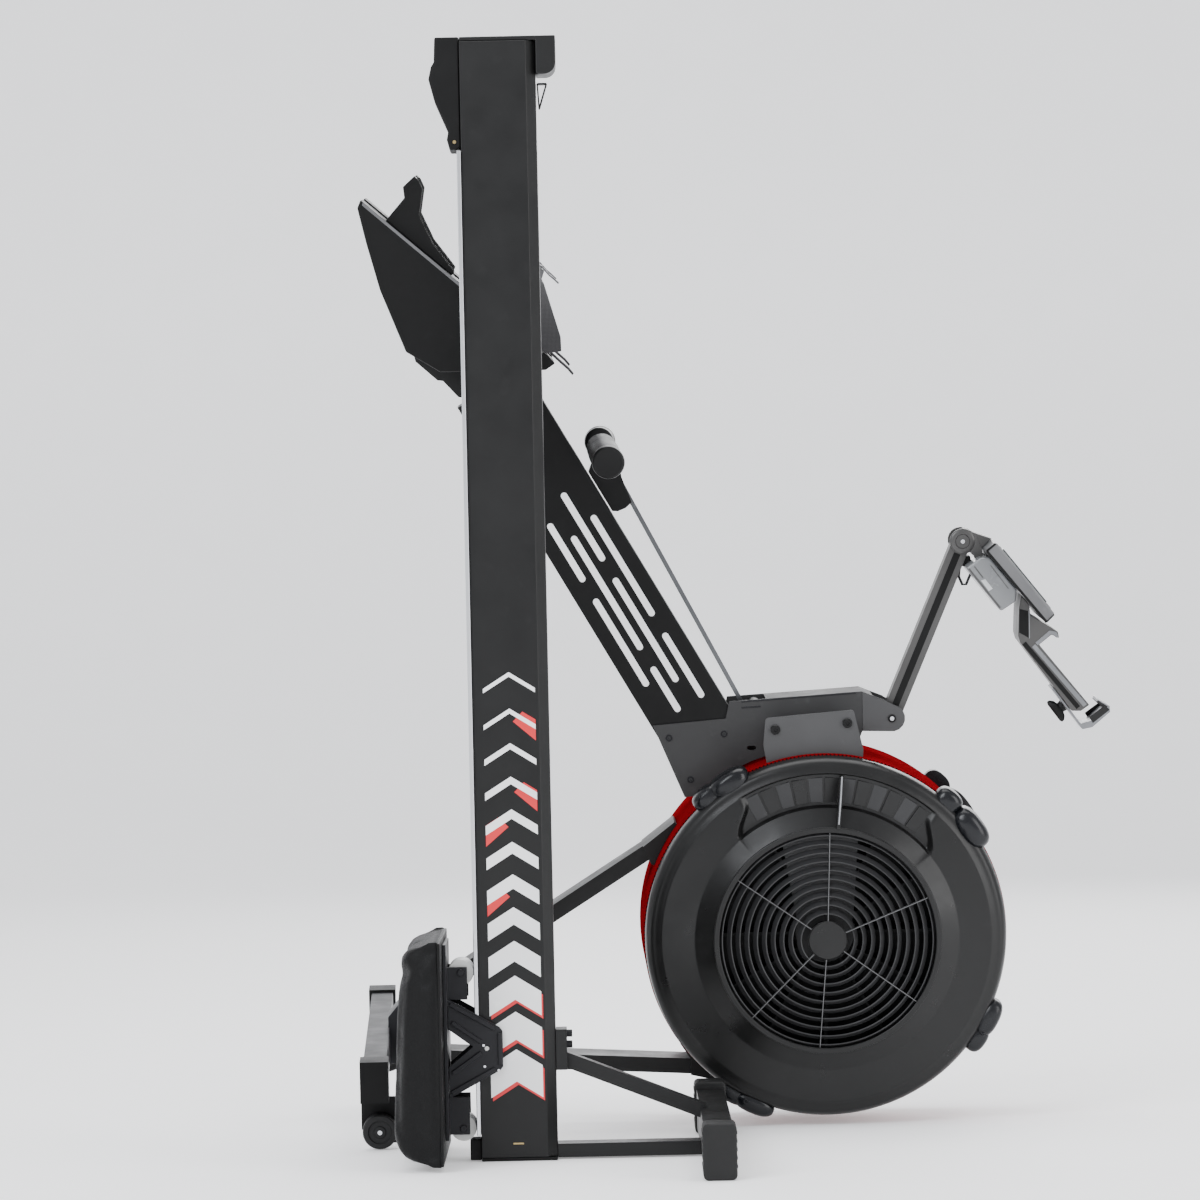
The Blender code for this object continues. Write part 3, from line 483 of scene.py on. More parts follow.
def added(name, data):
    """A new object in the scene, from a shape or from ready data."""
    if isinstance(data, bmesh.types.BMesh):
        shape, data = data, bpy.data.meshes.new(name)
        shape.to_mesh(data)
        shape.free()
    item = bpy.data.objects.new(name, data)
    bpy.context.scene.collection.objects.link(item)
    return item


def piece(name, shape, material, body="drive_half", place=DRIVE, bevel=0, hides=(),
          own_axes=False):
    """Make a finished object from a shape and let it ride on a body."""
    bmesh.ops.recalc_face_normals(shape, faces=shape.faces)
    if not own_axes:
        shape.transform(place)
    made = added(name, shape)
    made.data.materials.append(material)
    made.data.shade_smooth()
    made.data.set_sharp_from_angle(angle=SHARP)
    if own_axes:
        made.matrix_world = place
    if bevel:
        soft = made.modifiers.new("soft_edges", "BEVEL")
        soft.width = bevel
        soft.segments = 3
        soft.limit_method = "ANGLE"
        soft.angle_limit = SHARP
        soft.harden_normals = True
    if body:
        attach(made, body)
    if hides:
        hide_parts(*hides)
    return made


def node_shape(node):
    """A CAD node's solid with its flat faces made whole again."""
    shape = bmesh.new()
    shape.from_mesh(frame["nodes"][node].data)
    gap, flat = 2e-5, radians(0.6)
    bmesh.ops.remove_doubles(shape, verts=shape.verts, dist=gap)
    bmesh.ops.dissolve_limit(shape, angle_limit=flat, verts=shape.verts, edges=shape.edges)
    return shape


def refined(node, material, bevel=0.001):
    """The node's own shape with softened edges and a finished surface."""
    body = frame["nodes"][node]["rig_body"]
    piece(f"{node}_finished", node_shape(node), material, body, Matrix(), bevel, (node,))


# ---- seat half
def dress_rail():
    refined("rail_beam", PAINT, 0.0022)
    refined("rail_track", STAINLESS)
    refined("rail_end_cap", PLASTIC)
    refined("rail_head", PAINT, 0.0015)
    corners = ((0.0512, 1.328), (0.0625, 1.328), (0.053, 1.297))
    hook = bmesh.new()
    for index, corner in enumerate(corners):
        prism(strip(corner, corners[index - 1], 0.0018), -0.008, 0.008, hook)
    piece("latch_hook", hook, PLASTIC, "latch", RAIL, 0.0003, ("frame_latch",))
    refined("front_stop", PLASTIC, 0.002)
    refined("rear_stop", RUBBER, 0.0015)
    pin = bolt_shapes([(-0.052, 1.256)], -0.03, -1, 0.0022, 0.0016)
    piece("front_stop_screw", pin, BRASS, "seat_half", RAIL)
    plate = tube_shape([(-0.005, RAIL_FACE, 0.0215), (0.008, RAIL_FACE, 0.0215)], 0.0012)
    piece("rail_plug_rivet", plate, BRASS, "seat_half", RAIL)


def chevron(middle, low, half_width, thickness, rise):
    """An upward-pointing band on the rail's near face."""
    lower = [(middle - half_width, low), (middle, low + rise), (middle + half_width, low)]
    return lower + [(x, z + thickness) for x, z in reversed(lower)]


def dress_rail_graphics():
    """Printed arrowheads that grow from fine at the top to heavy at the bottom, with red shadows."""
    white, red = bmesh.new(), bmesh.new()
    white_face, red_face = RAIL_FACE - 0.0004, RAIL_FACE - 0.0002
    middle = 0.001
    count = 12
    low = 0.078
    for index in range(count):
        share = index / (count - 1)
        thickness = 0.034 * (1 - share) ** 1.7 + 0.0055
        gap = 0.012 + 0.03 * share
        prism(chevron(middle, low, 0.032, thickness, 0.02), RAIL_FACE, white_face, white)
        if index < 3:
            prism(chevron(middle + 0.002, low - 0.004, 0.032, thickness, 0.02), RAIL_FACE, red_face, red)
        if index in (5, 7, 8, 10):
            side = -1 if index % 2 else 1
            tip = middle + side * 0.004
            shard = [
                (tip, low + 0.01), (middle + side * 0.032, low - 0.014),
                (middle + side * 0.032, low + 0.012), (tip + side * 0.012, low + 0.022),
            ]
            prism(shard, RAIL_FACE, red_face, red)
        low += thickness + gap
    piece("rail_print_white", white, WHITE_PRINT, "seat_half", RAIL)
    piece("rail_print_red", red, RED_PRINT, "seat_half", RAIL)


def dress_rear_stand():
    refined("rear_leg", PAINT, 0.0016)
    for side, name in SIDES:
        refined(f"rear_foot_{name}", RUBBER, 0.003)
        ribs = bmesh.new()
        for index in range(5):
            z = 0.014 + 0.01 * index
            prism(rectangle(0.2228, 0.2647, z, z + 0.004), side * 0.25, side * 0.296, ribs)
        piece(f"rear_foot_ribs_{name}", ribs, RUBBER, "seat_half", RAIL, 0.0008)
    bolts = bmesh.new()
    for z in (0.14, 0.1535):
        tube_shape([(0.063, 0, z), (0.07, 0, z)], 0.0048, 6, bolts)
    piece("rear_leg_bolts", bolts, DARK_STEEL, "seat_half", RAIL, 0.0008)


def seat_shape():
    """A moulded seat pad: crowned, with two shallow dishes, a relief channel and rolled edges."""
    back = -0.087
    rows, columns = 56, 64
    low, high = 0.0045, 0.28
    half_width = 0.1545
    corner = 0.03
    edge_depth = 0.016
    shape = bmesh.new()

    def depth_at(u, v):
        """Pad depth from a share across (-1 to 1) and a share up the pad (0 to 1)."""
        belly = 0.056 - 0.015 * v ** 2.2
        lip = 0.0035 * exp(-((v - 0.855) / 0.035) ** 2)
        dishes = 0.009 * exp(-((abs(u) - 0.42) / 0.24) ** 2 - ((v - 0.42) / 0.26) ** 2)
        channel = 0.007 * exp(-(u / 0.1) ** 2) * min(1, max(0, (v - 0.42) / 0.25))
        return belly - lip - dishes - channel

    grid = []
    for row in range(rows + 1):
        v = row / rows
        line = []
        for column in range(columns + 1):
            u = -1 + 2 * column / columns
            z = low + (high - low) * v
            narrowing = 1 - 0.035 * abs(v - 0.45) ** 1.5
            y = half_width * u * narrowing
            edge = min(half_width * narrowing - abs(y), (z - low) * 0.62, (high - z) * 1.3)
            inner_y = max(0, abs(y) - (half_width * narrowing - corner))
            inner_z = max(0, corner - (z - low), corner - (high - z))
            if inner_y > 0 and inner_z > 0:
                edge = min(edge, corner - hypot(inner_y, inner_z))
            share = min(1, max(0, edge / 0.02))
            roll = (1 - (1 - share) ** 2.4) ** (1 / 2.4)
            depth = edge_depth + (depth_at(u, v) - edge_depth) * roll
            line.append(shape.verts.new((back - depth, y, z)))
        grid.append(line)
    sheet(grid, shape)
    border = grid[0] + [line[-1] for line in grid[1:]]
    border += list(reversed(grid[-1][:-1])) + [line[0] for line in reversed(grid[1:-1])]
    base = [shape.verts.new((back, vertex.co.y, vertex.co.z)) for vertex in border]
    bridge(border, base, shape)
    shape.faces.new(base)
    return shape


def evaluated(item):
    return bpy.data.meshes.new_from_object(item.evaluated_get(bpy.context.evaluated_depsgraph_get()))


def swollen(shape, voxel, pressure, cap, held_above):
    """The shape after a short cloth simulation, in which its back beyond held_above in X stays put."""
    bmesh.ops.recalc_face_normals(shape, faces=shape.faces)
    skin = added("swelling", shape)
    scene = bpy.context.scene
    moments = 20
    remesh = skin.modifiers.new("remesh", "REMESH")
    remesh.mode = "VOXEL"
    remesh.voxel_size = voxel
    skin.data = evaluated(skin)
    skin.modifiers.clear()
    rest = [vertex.co.copy() for vertex in skin.data.vertices]
    held = skin.vertex_groups.new(name="held")
    held.add([index for index, point in enumerate(rest) if point.x > held_above], 1, "ADD")
    cloth = skin.modifiers.new("cloth", "CLOTH").settings
    cloth.vertex_group_mass = held.name
    cloth.use_pressure = True
    cloth.uniform_pressure_force = pressure
    cloth.effector_weights.gravity = 0
    for moment in range(moments):
        scene.frame_set(moment + 1)
    result = evaluated(skin)
    for vertex, point in zip(result.vertices, rest):
        move = vertex.co - point
        if move.length > cap:
            vertex.co = point + move * (cap / move.length)
    scene.frame_set(1)
    skin.modifiers.clear()
    skin.data = result
    skin.modifiers.new("fine", "SUBSURF").levels = 1
    puffed = bmesh.new()
    puffed.from_mesh(evaluated(skin))
    bpy.data.objects.remove(skin)
    return puffed


def dress_seat():
    shape = seat_shape()
    shape = swollen(shape, voxel=0.005, pressure=4, cap=0.005, held_above=-0.0885)
    pad = piece("seat_pad", shape, SEAT_COVER, "seat", RAIL, 0, ("seat_cushion",))
    outline = rectangle(-0.1535, 0.1535, 0.007, 0.277)
    base = loft([[(x, y, z) for y, z in outline] for x in (-0.0905, -0.0872)])
    piece("seat_base_edge", base, PLASTIC, "seat", RAIL, 0.001)
    refined("seat_carriage", DARK_STEEL, 0.0012)
    for side, name in SIDES:
        refined(f"carriage_side_{name}", DARK_STEEL, 0.0007)
        ribs = bmesh.new()
        face, crest = side * 0.0414, side * 0.0446
        for start, end in (
            ((-0.08, 0.1955), (-0.025, 0.164)), ((-0.078, 0.173), (-0.042, 0.148)),
            ((-0.08, 0.086), (-0.025, 0.115)), ((-0.078, 0.11), (-0.042, 0.135)),
            ((-0.019, 0.12), (-0.019, 0.159)),
        ):
            prism(strip(start, end, 0.0055), face, crest, ribs)
        piece(f"carriage_ribs_{name}", ribs, DARK_STEEL, "seat", RAIL, 0.0012)
        centres = ((-0.039, 0.144), (-0.038, 0.118), (-0.021, 0.113))
        screws = bolt_shapes(centres, face, side, 0.0017, 0.0016)
        piece(f"carriage_screws_{name}", screws, BRIGHT, "seat", RAIL)
        pins = bmesh.new()
        for height in (0.233, 0.0415):
            turned(rectangle(0, 0.0042, side * 0.034, side * 0.0365), (-0.0658, height), 24, pins)
        piece(f"roller_pins_{name}", pins, DARK_STEEL, "seat", RAIL, 0.0006)
    for name in ("seat_roller_upper", "seat_roller_lower", "guide_roller_near", "guide_roller_far"):
        refined(name, WHITE_PLASTIC)


# ---- drive half: beam and fan
def dress_beam():
    refined("main_beam", PLASTIC, 0.0022)
    refined("fan_frame", HOUSING)
    refined("chain_guide", PLASTIC, 0.0008)
    refined("drive_chain", CHAIN_STEEL, 0.0008)
    bolts, washers = bmesh.new(), bmesh.new()
    centres = ((0.1566, 0.5152), (0.0847, 0.5114), (0.112, 0.456))
    for side, _ in SIDES:
        bolt_shapes(centres, side * 0.0335, side, 0.003, 0.0018, bolts)
        for centre in centres:
            turned(rectangle(0.003, 0.0048, side * 0.033, side * 0.034), centre, 24, washers)
    piece("fan_frame_bolts", bolts, GLOSS_BLACK)
    piece("fan_frame_washers", washers, DARK_STEEL, bevel=0.0004)
    folds = bmesh.new()
    for start, end in (((0.18, 0.557), (0.33, 0.5654)), ((0.18, 0.549), (0.205, 0.5504))):
        prism(strip(start, end, 0.0022), -0.0341, -0.0334, folds)
    piece("fan_frame_fold", folds, DARK_STEEL, bevel=0.0006)


def rounded_bar(start, end, width):
    """Outline of a bar with round ends."""
    along = Vector(end) - Vector(start)
    heading = atan2(along.y, along.x) * 180 / pi
    far_end = arc(end, width / 2, heading - 90, heading + 90, 8)
    return far_end + arc(start, width / 2, heading + 90, heading + 270, 8)


def dress_beam_graphics():
    """White rounded dashes that run down the beam's near face, generic in place of lettering."""
    low = Vector((0.1343, 0.5016))
    high = Vector((-0.1365, 0.9688))
    along = (high - low).normalized()
    across = Vector((-along.y, along.x))
    dashes = bmesh.new()
    rows = (
        (-0.027, 0.06, 0.15), (-0.027, 0.185, 0.33), (-0.009, 0.095, 0.245), (-0.009, 0.28, 0.375),
        (0.009, 0.06, 0.12), (0.009, 0.155, 0.32), (0.027, 0.11, 0.235), (0.027, 0.27, 0.35),
    )
    for offset, first, last in rows:
        start = low + along * first + across * offset
        end = low + along * last + across * offset
        prism(rounded_bar(start, end, 0.0085), BEAM_FACE, BEAM_FACE - 0.0003, dashes)
    piece("beam_print_white", dashes, WHITE_PRINT)


def dress_mount_plates():
    for side, name in SIDES:
        refined(f"mount_plate_{name}", PLATE)
        refined(f"axle_bearing_{name}", STAINLESS, 0.0006)
        bolts = bolt_shapes(MOUNT_BOLTS, side * 0.075, side, 0.0062, 0.0045)
        piece(f"mount_bolts_{name}", bolts, GRIP)


def ramp(value, start, end):
    """Rise smoothly from 0 at start to 1 at end."""
    share = min(1, max(0, (value - start) / (end - start)))
    return share * share * (3 - 2 * share)


def cover_recess(side):
    """How far the near cover's face sinks in the damper window, which widens near the grille."""
    def height(turn, radius):
        if side > 0 or not 0.166 < radius < 0.2165:
            return 0
        angle = turn * 180 / pi
        spread = 9 * (1 - ramp(radius, 0.172, 0.204))
        low, high = SECTOR[0] - spread, SECTOR[1] + spread
        soft = 1.6
        inside = min(ramp(angle, low - soft, low + soft), 1 - ramp(angle, high - soft, high + soft))
        depth = 0.0035 + 0.0095 * min(1, max(0, (0.215 - radius) / 0.04))
        return depth * inside * ramp(radius, 0.169, 0.1722) * (1 - ramp(radius, 0.2128, 0.2152))
    return height


def cover_profile(side):
    """Outer skin from the rim to the grille, then back along the inside."""
    rim = [(0.2345, 0.0853), (0.2345, 0.0985)]
    rim += [(0.2235 + 0.011 * cos(radians(a)), 0.0985 + 0.0165 * sin(radians(a))) for a in range(15, 91, 15)]
    rim += [(0.2165, 0.1166), (0.215, 0.118), (0.213, 0.1184)]
    face = [(radius / 1000, 0.1184 + (213 - radius) * 0.0001) for radius in range(212, 172, -1)]
    cone = [(0.1713, 0.1226), (0.17, 0.1232), (0.1475, 0.1352), (0.1455, 0.1362), (0.1436, 0.1365)]
    lip = [(0.1425, 0.1362), (0.1418, 0.1352), (0.1418, 0.129), (0.1445, 0.129)]
    inside = [
        (0.169, 0.115), (0.1725, 0.1122), (0.19, 0.1095), (0.211, 0.107), (0.2152, 0.107),
        (0.224, 0.104), (0.2315, 0.094), (0.2315, 0.0853),
    ]
    return sided(rim + face + cone + lip + inside, side)


def lug_shape(angle, half_length, half_height, face, side, shape):
    """One domed lobe on the cover's rim."""
    middle = radians(angle)
    outward = Vector((cos(middle), sin(middle)))
    around = Vector((-sin(middle), cos(middle)))
    centre = Vector(FAN) + outward * (LUG_REACH - half_height)
    base = 0.0855
    sections = []
    for scale, rise in ((1, 0), (1, 0.45), (0.96, 0.66), (0.86, 0.83), (0.68, 0.94), (0.36, 1)):
        section = []
        for turn in turns(32):
            wide, tall = (copysign(abs(part) ** 0.8, part) for part in (cos(turn), sin(turn)))
            reach = centre + around * (half_length * scale * wide) + outward * (half_height * scale * tall)
            section.append((reach.x, side * (base + (face - base) * rise), reach.y))
        sections.append(section)
    return loft(sections, shape)


def grille_shape(side):
    """Ten slanted louvre rings, evenly spread over the grille."""
    shape = bmesh.new()
    for index in range(10):
        radius = 0.0335 + index * (0.1355 - 0.0335) / 9
        blade = [
            (radius, 0.135), (radius + 0.0014, 0.1355), (radius + 0.0062, 0.1285), (radius + 0.005, 0.128),
        ]
        turned(sided(blade, side), FAN, 120, shape)
    return shape


def dress_covers():
    for side, name in SIDES:
        shell = turned(cover_profile(side), FAN, 480, height=cover_recess(side))
        piece(f"fan_cover_{name}", shell, COVER, hides=(f"cover_{name}",))
        piece(f"fan_grille_{name}", grille_shape(side), HUB_GREY)
        spokes = bmesh.new()
        for angle in (88, 145, 22, -36, -95, -135):
            inner, outer = (spot(FAN, radius, angle) for radius in (0.022, 0.1425))
            prism(strip(inner, outer, 0.0009), side * 0.129, side * 0.1364, spokes)
        piece(f"grille_spokes_{name}", spokes, GREY_PLASTIC)
        lip = [(0.1412, 0.1354), (0.1424, 0.1366), (0.1436, 0.1369), (0.1436, 0.1354)]
        piece(f"grille_lip_{name}", turned(sided(lip, side), FAN, 160), GREY_PLASTIC)
        lugs = bmesh.new()
        for lug in LUGS:
            lug_shape(*lug, side, lugs)
        piece(f"cover_lugs_{name}", lugs, GLOSS_BLACK)
        centres = [spot(FAN, 0.2385, angle) for angle in LUG_SCREWS]
        screws = bolt_shapes(centres, side * 0.106, side, 0.0036, 0.006)
        piece(f"cover_screws_{name}", screws, DARK_STEEL, bevel=0.0004)
        cap = [
            (0, 0.134), (0.025, 0.134), (0.025, 0.1372), (0.0238, 0.1384), (0.02, 0.1386),
            (0, 0.1388),
        ]
        piece(f"fan_hub_cap_{name}", turned(sided(cap, side), FAN, 64), COVER)


def dress_slats():
    """Tapered slats in the damper window, tilted to the left and to the right by turns; one tilt gets a
    lighter material as painted light, the other a darker one as painted shade.
    """
    count = 12
    pitch = (SECTOR[1] - SECTOR[0]) / count
    # light collects the slats painted lighter and dark those painted darker, as light and shade on their
    # tilts
    light, dark = bmesh.new(), bmesh.new()
    for index in range(count):
        first = SECTOR[0] + pitch * index + 0.5
        last = first + pitch - 0.9
        raised = index % 2
        sections = []
        for radius, sunk, rise in ((0.177, 0.1094, 0.0034), (0.209, 0.1136, 0.0024)):
            low, high = (spot(FAN, radius, angle) for angle in (first, last))
            ends = (sunk + 0.0006, sunk + rise)
            sections.append([
                (low[0], -(sunk - 0.0015), low[1]), (high[0], -(sunk - 0.0015), high[1]),
                (high[0], -ends[1 - raised], high[1]), (low[0], -ends[raised], low[1]),
            ])
        loft(sections, light if raised else dark)
    piece("damper_slats_painted_lit", light, HUB_GREY, bevel=0.0003)
    piece("damper_slats_painted_shade", dark, COVER, bevel=0.0003)


def dress_band():
    band = turned(rectangle(0.2335, 0.236, -0.0848, 0.0848), segments=180)
    piece("air_band", band, RED_BAND, "drive_half", FAN_PLACE, 0.0004, ("air_ring",), True)
    lining = turned(rectangle(0.2322, 0.2332, -0.084, 0.084), FAN, 160)
    piece("air_band_lining", lining, PLASTIC)


def dress_damper():
    """The damper dial with its raised fin, which reaches into the slatted window."""
    dial = [
        (0.14, -0.1368), (0.14, -0.1396), (0.141, -0.1405), (0.1466, -0.1405), (0.1475, -0.1396),
        (0.1475, -0.1368),
    ]
    shape = turned(dial, FAN, 160)
    fin = [
        (0.1452, -0.1372), (0.1712, -0.1252), (0.1745, -0.116), (0.209, -0.119), (0.2112, -0.122),
        (0.2118, -0.1262), (0.19, -0.1372), (0.152, -0.144), (0.1452, -0.144),
    ]
    angle = radians(84)
    outward = Vector((cos(angle), 0, sin(angle)))
    around = Vector((-sin(angle), 0, cos(angle)))
    centre = Vector((FAN[0], 0, FAN[1]))

    def fin_points(profile, offset=0):
        return [centre + outward * r + Vector((0, y, 0)) + around * offset for r, y in profile]

    loft([fin_points(fin, -0.0025), fin_points(fin, 0.0025)], shape)
    piece("damper_dial", shape, COVER, "damper", bevel=0.0007, hides=("damper_lever",))
    crest = [(0.152, -0.1441), (0.19, -0.1373), (0.2118, -0.1263)]
    piece("damper_fin_edge", tube_shape(fin_points(crest), 0.0011, 10), BRIGHT, "damper")


def dress_fan():
    refined("flywheel_axle", STAINLESS, 0.0008)
    refined("fan_wheel", PLASTIC, 0.0008)
    refined("drive_sprocket", CHAIN_STEEL, 0.0004)
    rim = bmesh.new()
    for y in (-0.0665, -0.0085):
        turned(rectangle(0.1985, 0.205, y, y + 0.003), FAN, 120, rim)
    piece("fan_wheel_rims", rim, PLASTIC, "flywheel")
    disc = turned(rectangle(0.02, 0.199, -0.008, -0.0062), FAN, 120)
    piece("fan_back_plate", disc, PLASTIC, "flywheel")


def dress_front_legs():
    for name in ("leg_upper", "leg_lower"):
        refined(name, PAINT, 0.002)
    refined("front_foot_bar", DARK_STEEL, 0.003)
    for side, name in SIDES:
        refined(f"front_foot_{name}", PLASTIC, 0.0035)
        profile = [
            (0, 0.2632), (0.004, 0.2632), (0.004, 0.2682), (0.0205, 0.2682), (0.0218, 0.27),
            (0.022, 0.279), (0.0218, 0.288), (0.0205, 0.2898), (0.015, 0.29), (0.014, 0.288),
            (0.008, 0.288), (0.007, 0.2896), (0, 0.2898),
        ]
        wheel = turned(sided(profile, side), WHEEL_CENTRE, 56)
        piece(
            f"transport_tyre_{name}", wheel, RUBBER, f"wheel_{name}",
            hides=(f"transport_wheel_{name}",),
        )
        pin = bolt_shapes([WHEEL_CENTRE], side * 0.289, side, 0.0032, 0.0026)
        piece(f"transport_bolt_{name}", pin, BRIGHT, f"wheel_{name}")


# ---- drive half: handle and feet
def handle_middle(y):
    """The handle's grips slant down along the beam from their inner ends."""
    along = (Vector(CHAIN_EXIT) - Vector(CHAIN_TOP)).normalized()
    return Vector(HANDLE) + along * HANDLE_SWEEP * (abs(y) - HANDLE_STRAIGHT)


def dress_handle():
    refined("handle_bar", BRIGHT)
    refined("handle_holder", PLASTIC, 0.0016)
    bore = 0.0098
    for side, name in SIDES:
        profile = [(bore, 0.07), (0.016, 0.07), (0.0188, 0.0716), (0.0193, 0.074)]
        for index in range(29):
            y = 0.076 + index * 0.0052
            crest = 0.019 + 0.0012 * sin(pi * index / 28)
            profile += [(crest, y), (crest - 0.0004, y + 0.0012), (crest - 0.0004, y + 0.0022)]
            profile.append((crest, y + 0.0034))
        profile += [
            (0.0198, 0.228), (0.0209, 0.231), (0.021, 0.235), (0.0202, 0.2384), (0.018, 0.24),
            (0.008, 0.2396), (0, 0.2395), (0, 0.2356), (bore, 0.2356),
        ]
        grip = turned(sided(profile, side), handle_middle, 48)
        piece(f"handle_grip_{name}", grip, GRIP, "handle", hides=(f"grip_{name}",))


def chain_shape(start, end, pitch):
    """A roller chain laid along a straight line: plates in pairs around rollers."""
    start, end = Vector(start), Vector(end)
    along = (end - start).normalized()
    count = round((end - start).length / pitch)
    step = (end - start).length / count
    shape = bmesh.new()
    for index in range(count):
        first = start + along * step * (index + 0.1)
        last = start + along * step * (index + 0.9)
        inner, outer = (0.0012, 0.0018) if index % 2 else (0.0019, 0.0025)
        mirrored_prism(rounded_bar(first, last, 0.0058), inner, outer, shape)
        turned(rectangle(0, 0.0024, -0.0012, 0.0012), tuple(first), 12, shape)
    return shape


def dress_handle_chain():
    chain = piece(
        "handle_roller_chain", chain_shape(CHAIN_TOP, CHAIN_EXIT, LINK), CHAIN_STEEL, None,
        hides=("handle_chain",),
    )
    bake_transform(chain)


def foot_point(along, out, y):
    point = HEEL + FOOT_ALONG * along + FOOT_OUT * out
    return (point.x, y, point.y)


def dress_foot_rests():
    refined("foot_bracket", PAINT, 0.0012)
    for side, name in SIDES:
        refined(f"foot_plate_{name}", PLASTIC, 0.0024)
        refined(f"heel_cup_{name}", PLASTIC, 0.0014)
        refined(f"foot_strap_{name}", WEBBING, 0.0006)
        tread = bmesh.new()
        for index in range(7):
            along = 0.21 + index * 0.0125
            corners = [(along, 0), (along + 0.005, 0), (along + 0.004, 0.0011), (along + 0.001, 0.0011)]
            slab(foot_point, corners, side * 0.064, side * 0.151, tread)
        piece(f"foot_tread_{name}", tread, PLASTIC)
        studs = bmesh.new()
        for index in range(4):
            along = 0.08 + index * 0.015
            corners = rectangle(along, along + 0.007, 0.0042, 0.0052)
            for y in (side * 0.098, side * 0.117):
                slab(foot_point, corners, y - 0.004, y + 0.004, studs)
        piece(f"heel_cup_studs_{name}", studs, DARK_STEEL, f"heel_{name}", bevel=0.0004)
        # A grey strip along the plate's top edge: painted sheen, the light its top face reflects at a
        # grazing angle.
        corners = [(0.006, -0.004), (0.3, -0.004), (0.302, -0.0004), (0.004, -0.0004)]
        painted_sheen_strip = slab(foot_point, corners, side * 0.16, side * 0.1606)
        piece(f"foot_plate_painted_sheen_{name}", painted_sheen_strip, GREY_PLASTIC)
        dress_strap(side, name)


def dress_strap(side, name):
    """The strap's loose tail and its spring buckle, on the outer side of the foot."""
    sections = []
    for along, out in ((0.302, 0.006), (0.312, 0.0036), (0.326, 0.003), (0.34, 0.0026), (0.349, 0.001)):
        corners = rectangle(side * 0.122, side * 0.152, out, out + 0.003)
        sections.append([foot_point(along, rise, y) for y, rise in corners])
    piece(f"strap_tail_{name}", loft(sections), WEBBING, bevel=0.0005)
    middle = side * FOOT_MIDDLE
    lower = [(-0.08, 1.134), (-0.0709, 1.1298), (-0.0621, 1.1194), (-0.056, 1.114), (-0.0496, 1.1077)]
    upper = [(x + 0.0014, z + 0.0018) for x, z in reversed(lower)]
    clip = prism(lower + upper, middle - 0.016, middle + 0.016)
    lever = [(-0.09, 1.106), (-0.0709, 1.113), (-0.067, 1.125), (-0.08, 1.1338)]
    prism(lever, middle - 0.014, middle + 0.014, clip)
    piece(f"strap_buckle_{name}", clip, GREY_PLASTIC, bevel=0.0007)


# ---- drive half: console
def dress_console():
    refined("console_arm", GREY_PAINT, 0.0014)
    cheek = arc(ARM_PIVOT, 0.0172, -80, 60, 10) + [(0.369, 0.5535), (0.338, 0.566), (0.338, 0.5156)]
    piece("arm_hinge_cheeks", mirrored_prism(cheek, 0.0333, 0.0341), PLATE, bevel=0.0003)
    start, end = (Vector(ARM_PIVOT).lerp(Vector(CONSOLE_PIVOT), share) for share in (0.06, 0.93))
    piece("console_arm_groove", mirrored_lines([(start, end, 0.0088)], 0.0129, 0.0133), PLASTIC, "arm")
    for name, centre, body, width, disc_radius, look in (
        ("lower", ARM_PIVOT, "drive_half", 0.034, 0.0052, PLASTIC),
        ("upper", CONSOLE_PIVOT, "console", 0.0175, 0.0158, GREY_PAINT),
    ):
        ring = [
            (0, width), (disc_radius, width), (disc_radius, width + 0.0016),
            (disc_radius - 0.0012, width + 0.0024), (disc_radius * 0.62, width + 0.0024),
            (disc_radius * 0.56, width + 0.0008), (0, width + 0.0008),
        ]
        discs, bolts = bmesh.new(), bmesh.new()
        for side, _ in SIDES:
            turned(sided(ring, side), centre, 40, discs)
            bolt_shapes([centre], side * (width + 0.0008), side, 0.003, 0.0024, bolts)
        piece(f"hinge_discs_{name}", discs, look, body)
        piece(f"hinge_bolts_{name}", bolts, BRIGHT, body)
        pin = turned(rectangle(0, 0.004, -width, width), centre, 24)
        piece(f"hinge_pin_{name}", pin, STAINLESS, body)
    refined("head_bracket", GREY_PAINT)
    flange = [
        (0.483, 0.744), (0.4932, 0.7352), (0.4995, 0.739), (0.4978, 0.75), (0.49, 0.769),
        (0.482, 0.774),
    ]
    piece("head_flanges", mirrored_prism(flange, 0.0174, 0.0188), GREY_PAINT, "console", bevel=0.0004)
    refined("display_housing", GREY_PLASTIC, 0.0035)
    refined("battery_box", SMOKE, 0.003)
    refined("display_screen", SCREEN, 0.0005)
    refined("tablet_holder", GREY_PAINT, 0.0008)
    refined("tablet_clamp", SILVER, 0.0006)
    dress_display()
    dress_tablet_rest()
    dress_knob()


def display_point(along, out, y):
    """A point on the display's face: along it from its top edge, and out of it."""
    top = Vector((0.5121, 0.7616))
    bottom = Vector((0.588, 0.6658))
    run = (bottom - top).normalized()
    normal = Vector((-run.y, run.x))
    point = top + run * along + normal * out
    return (point.x, y, point.y)


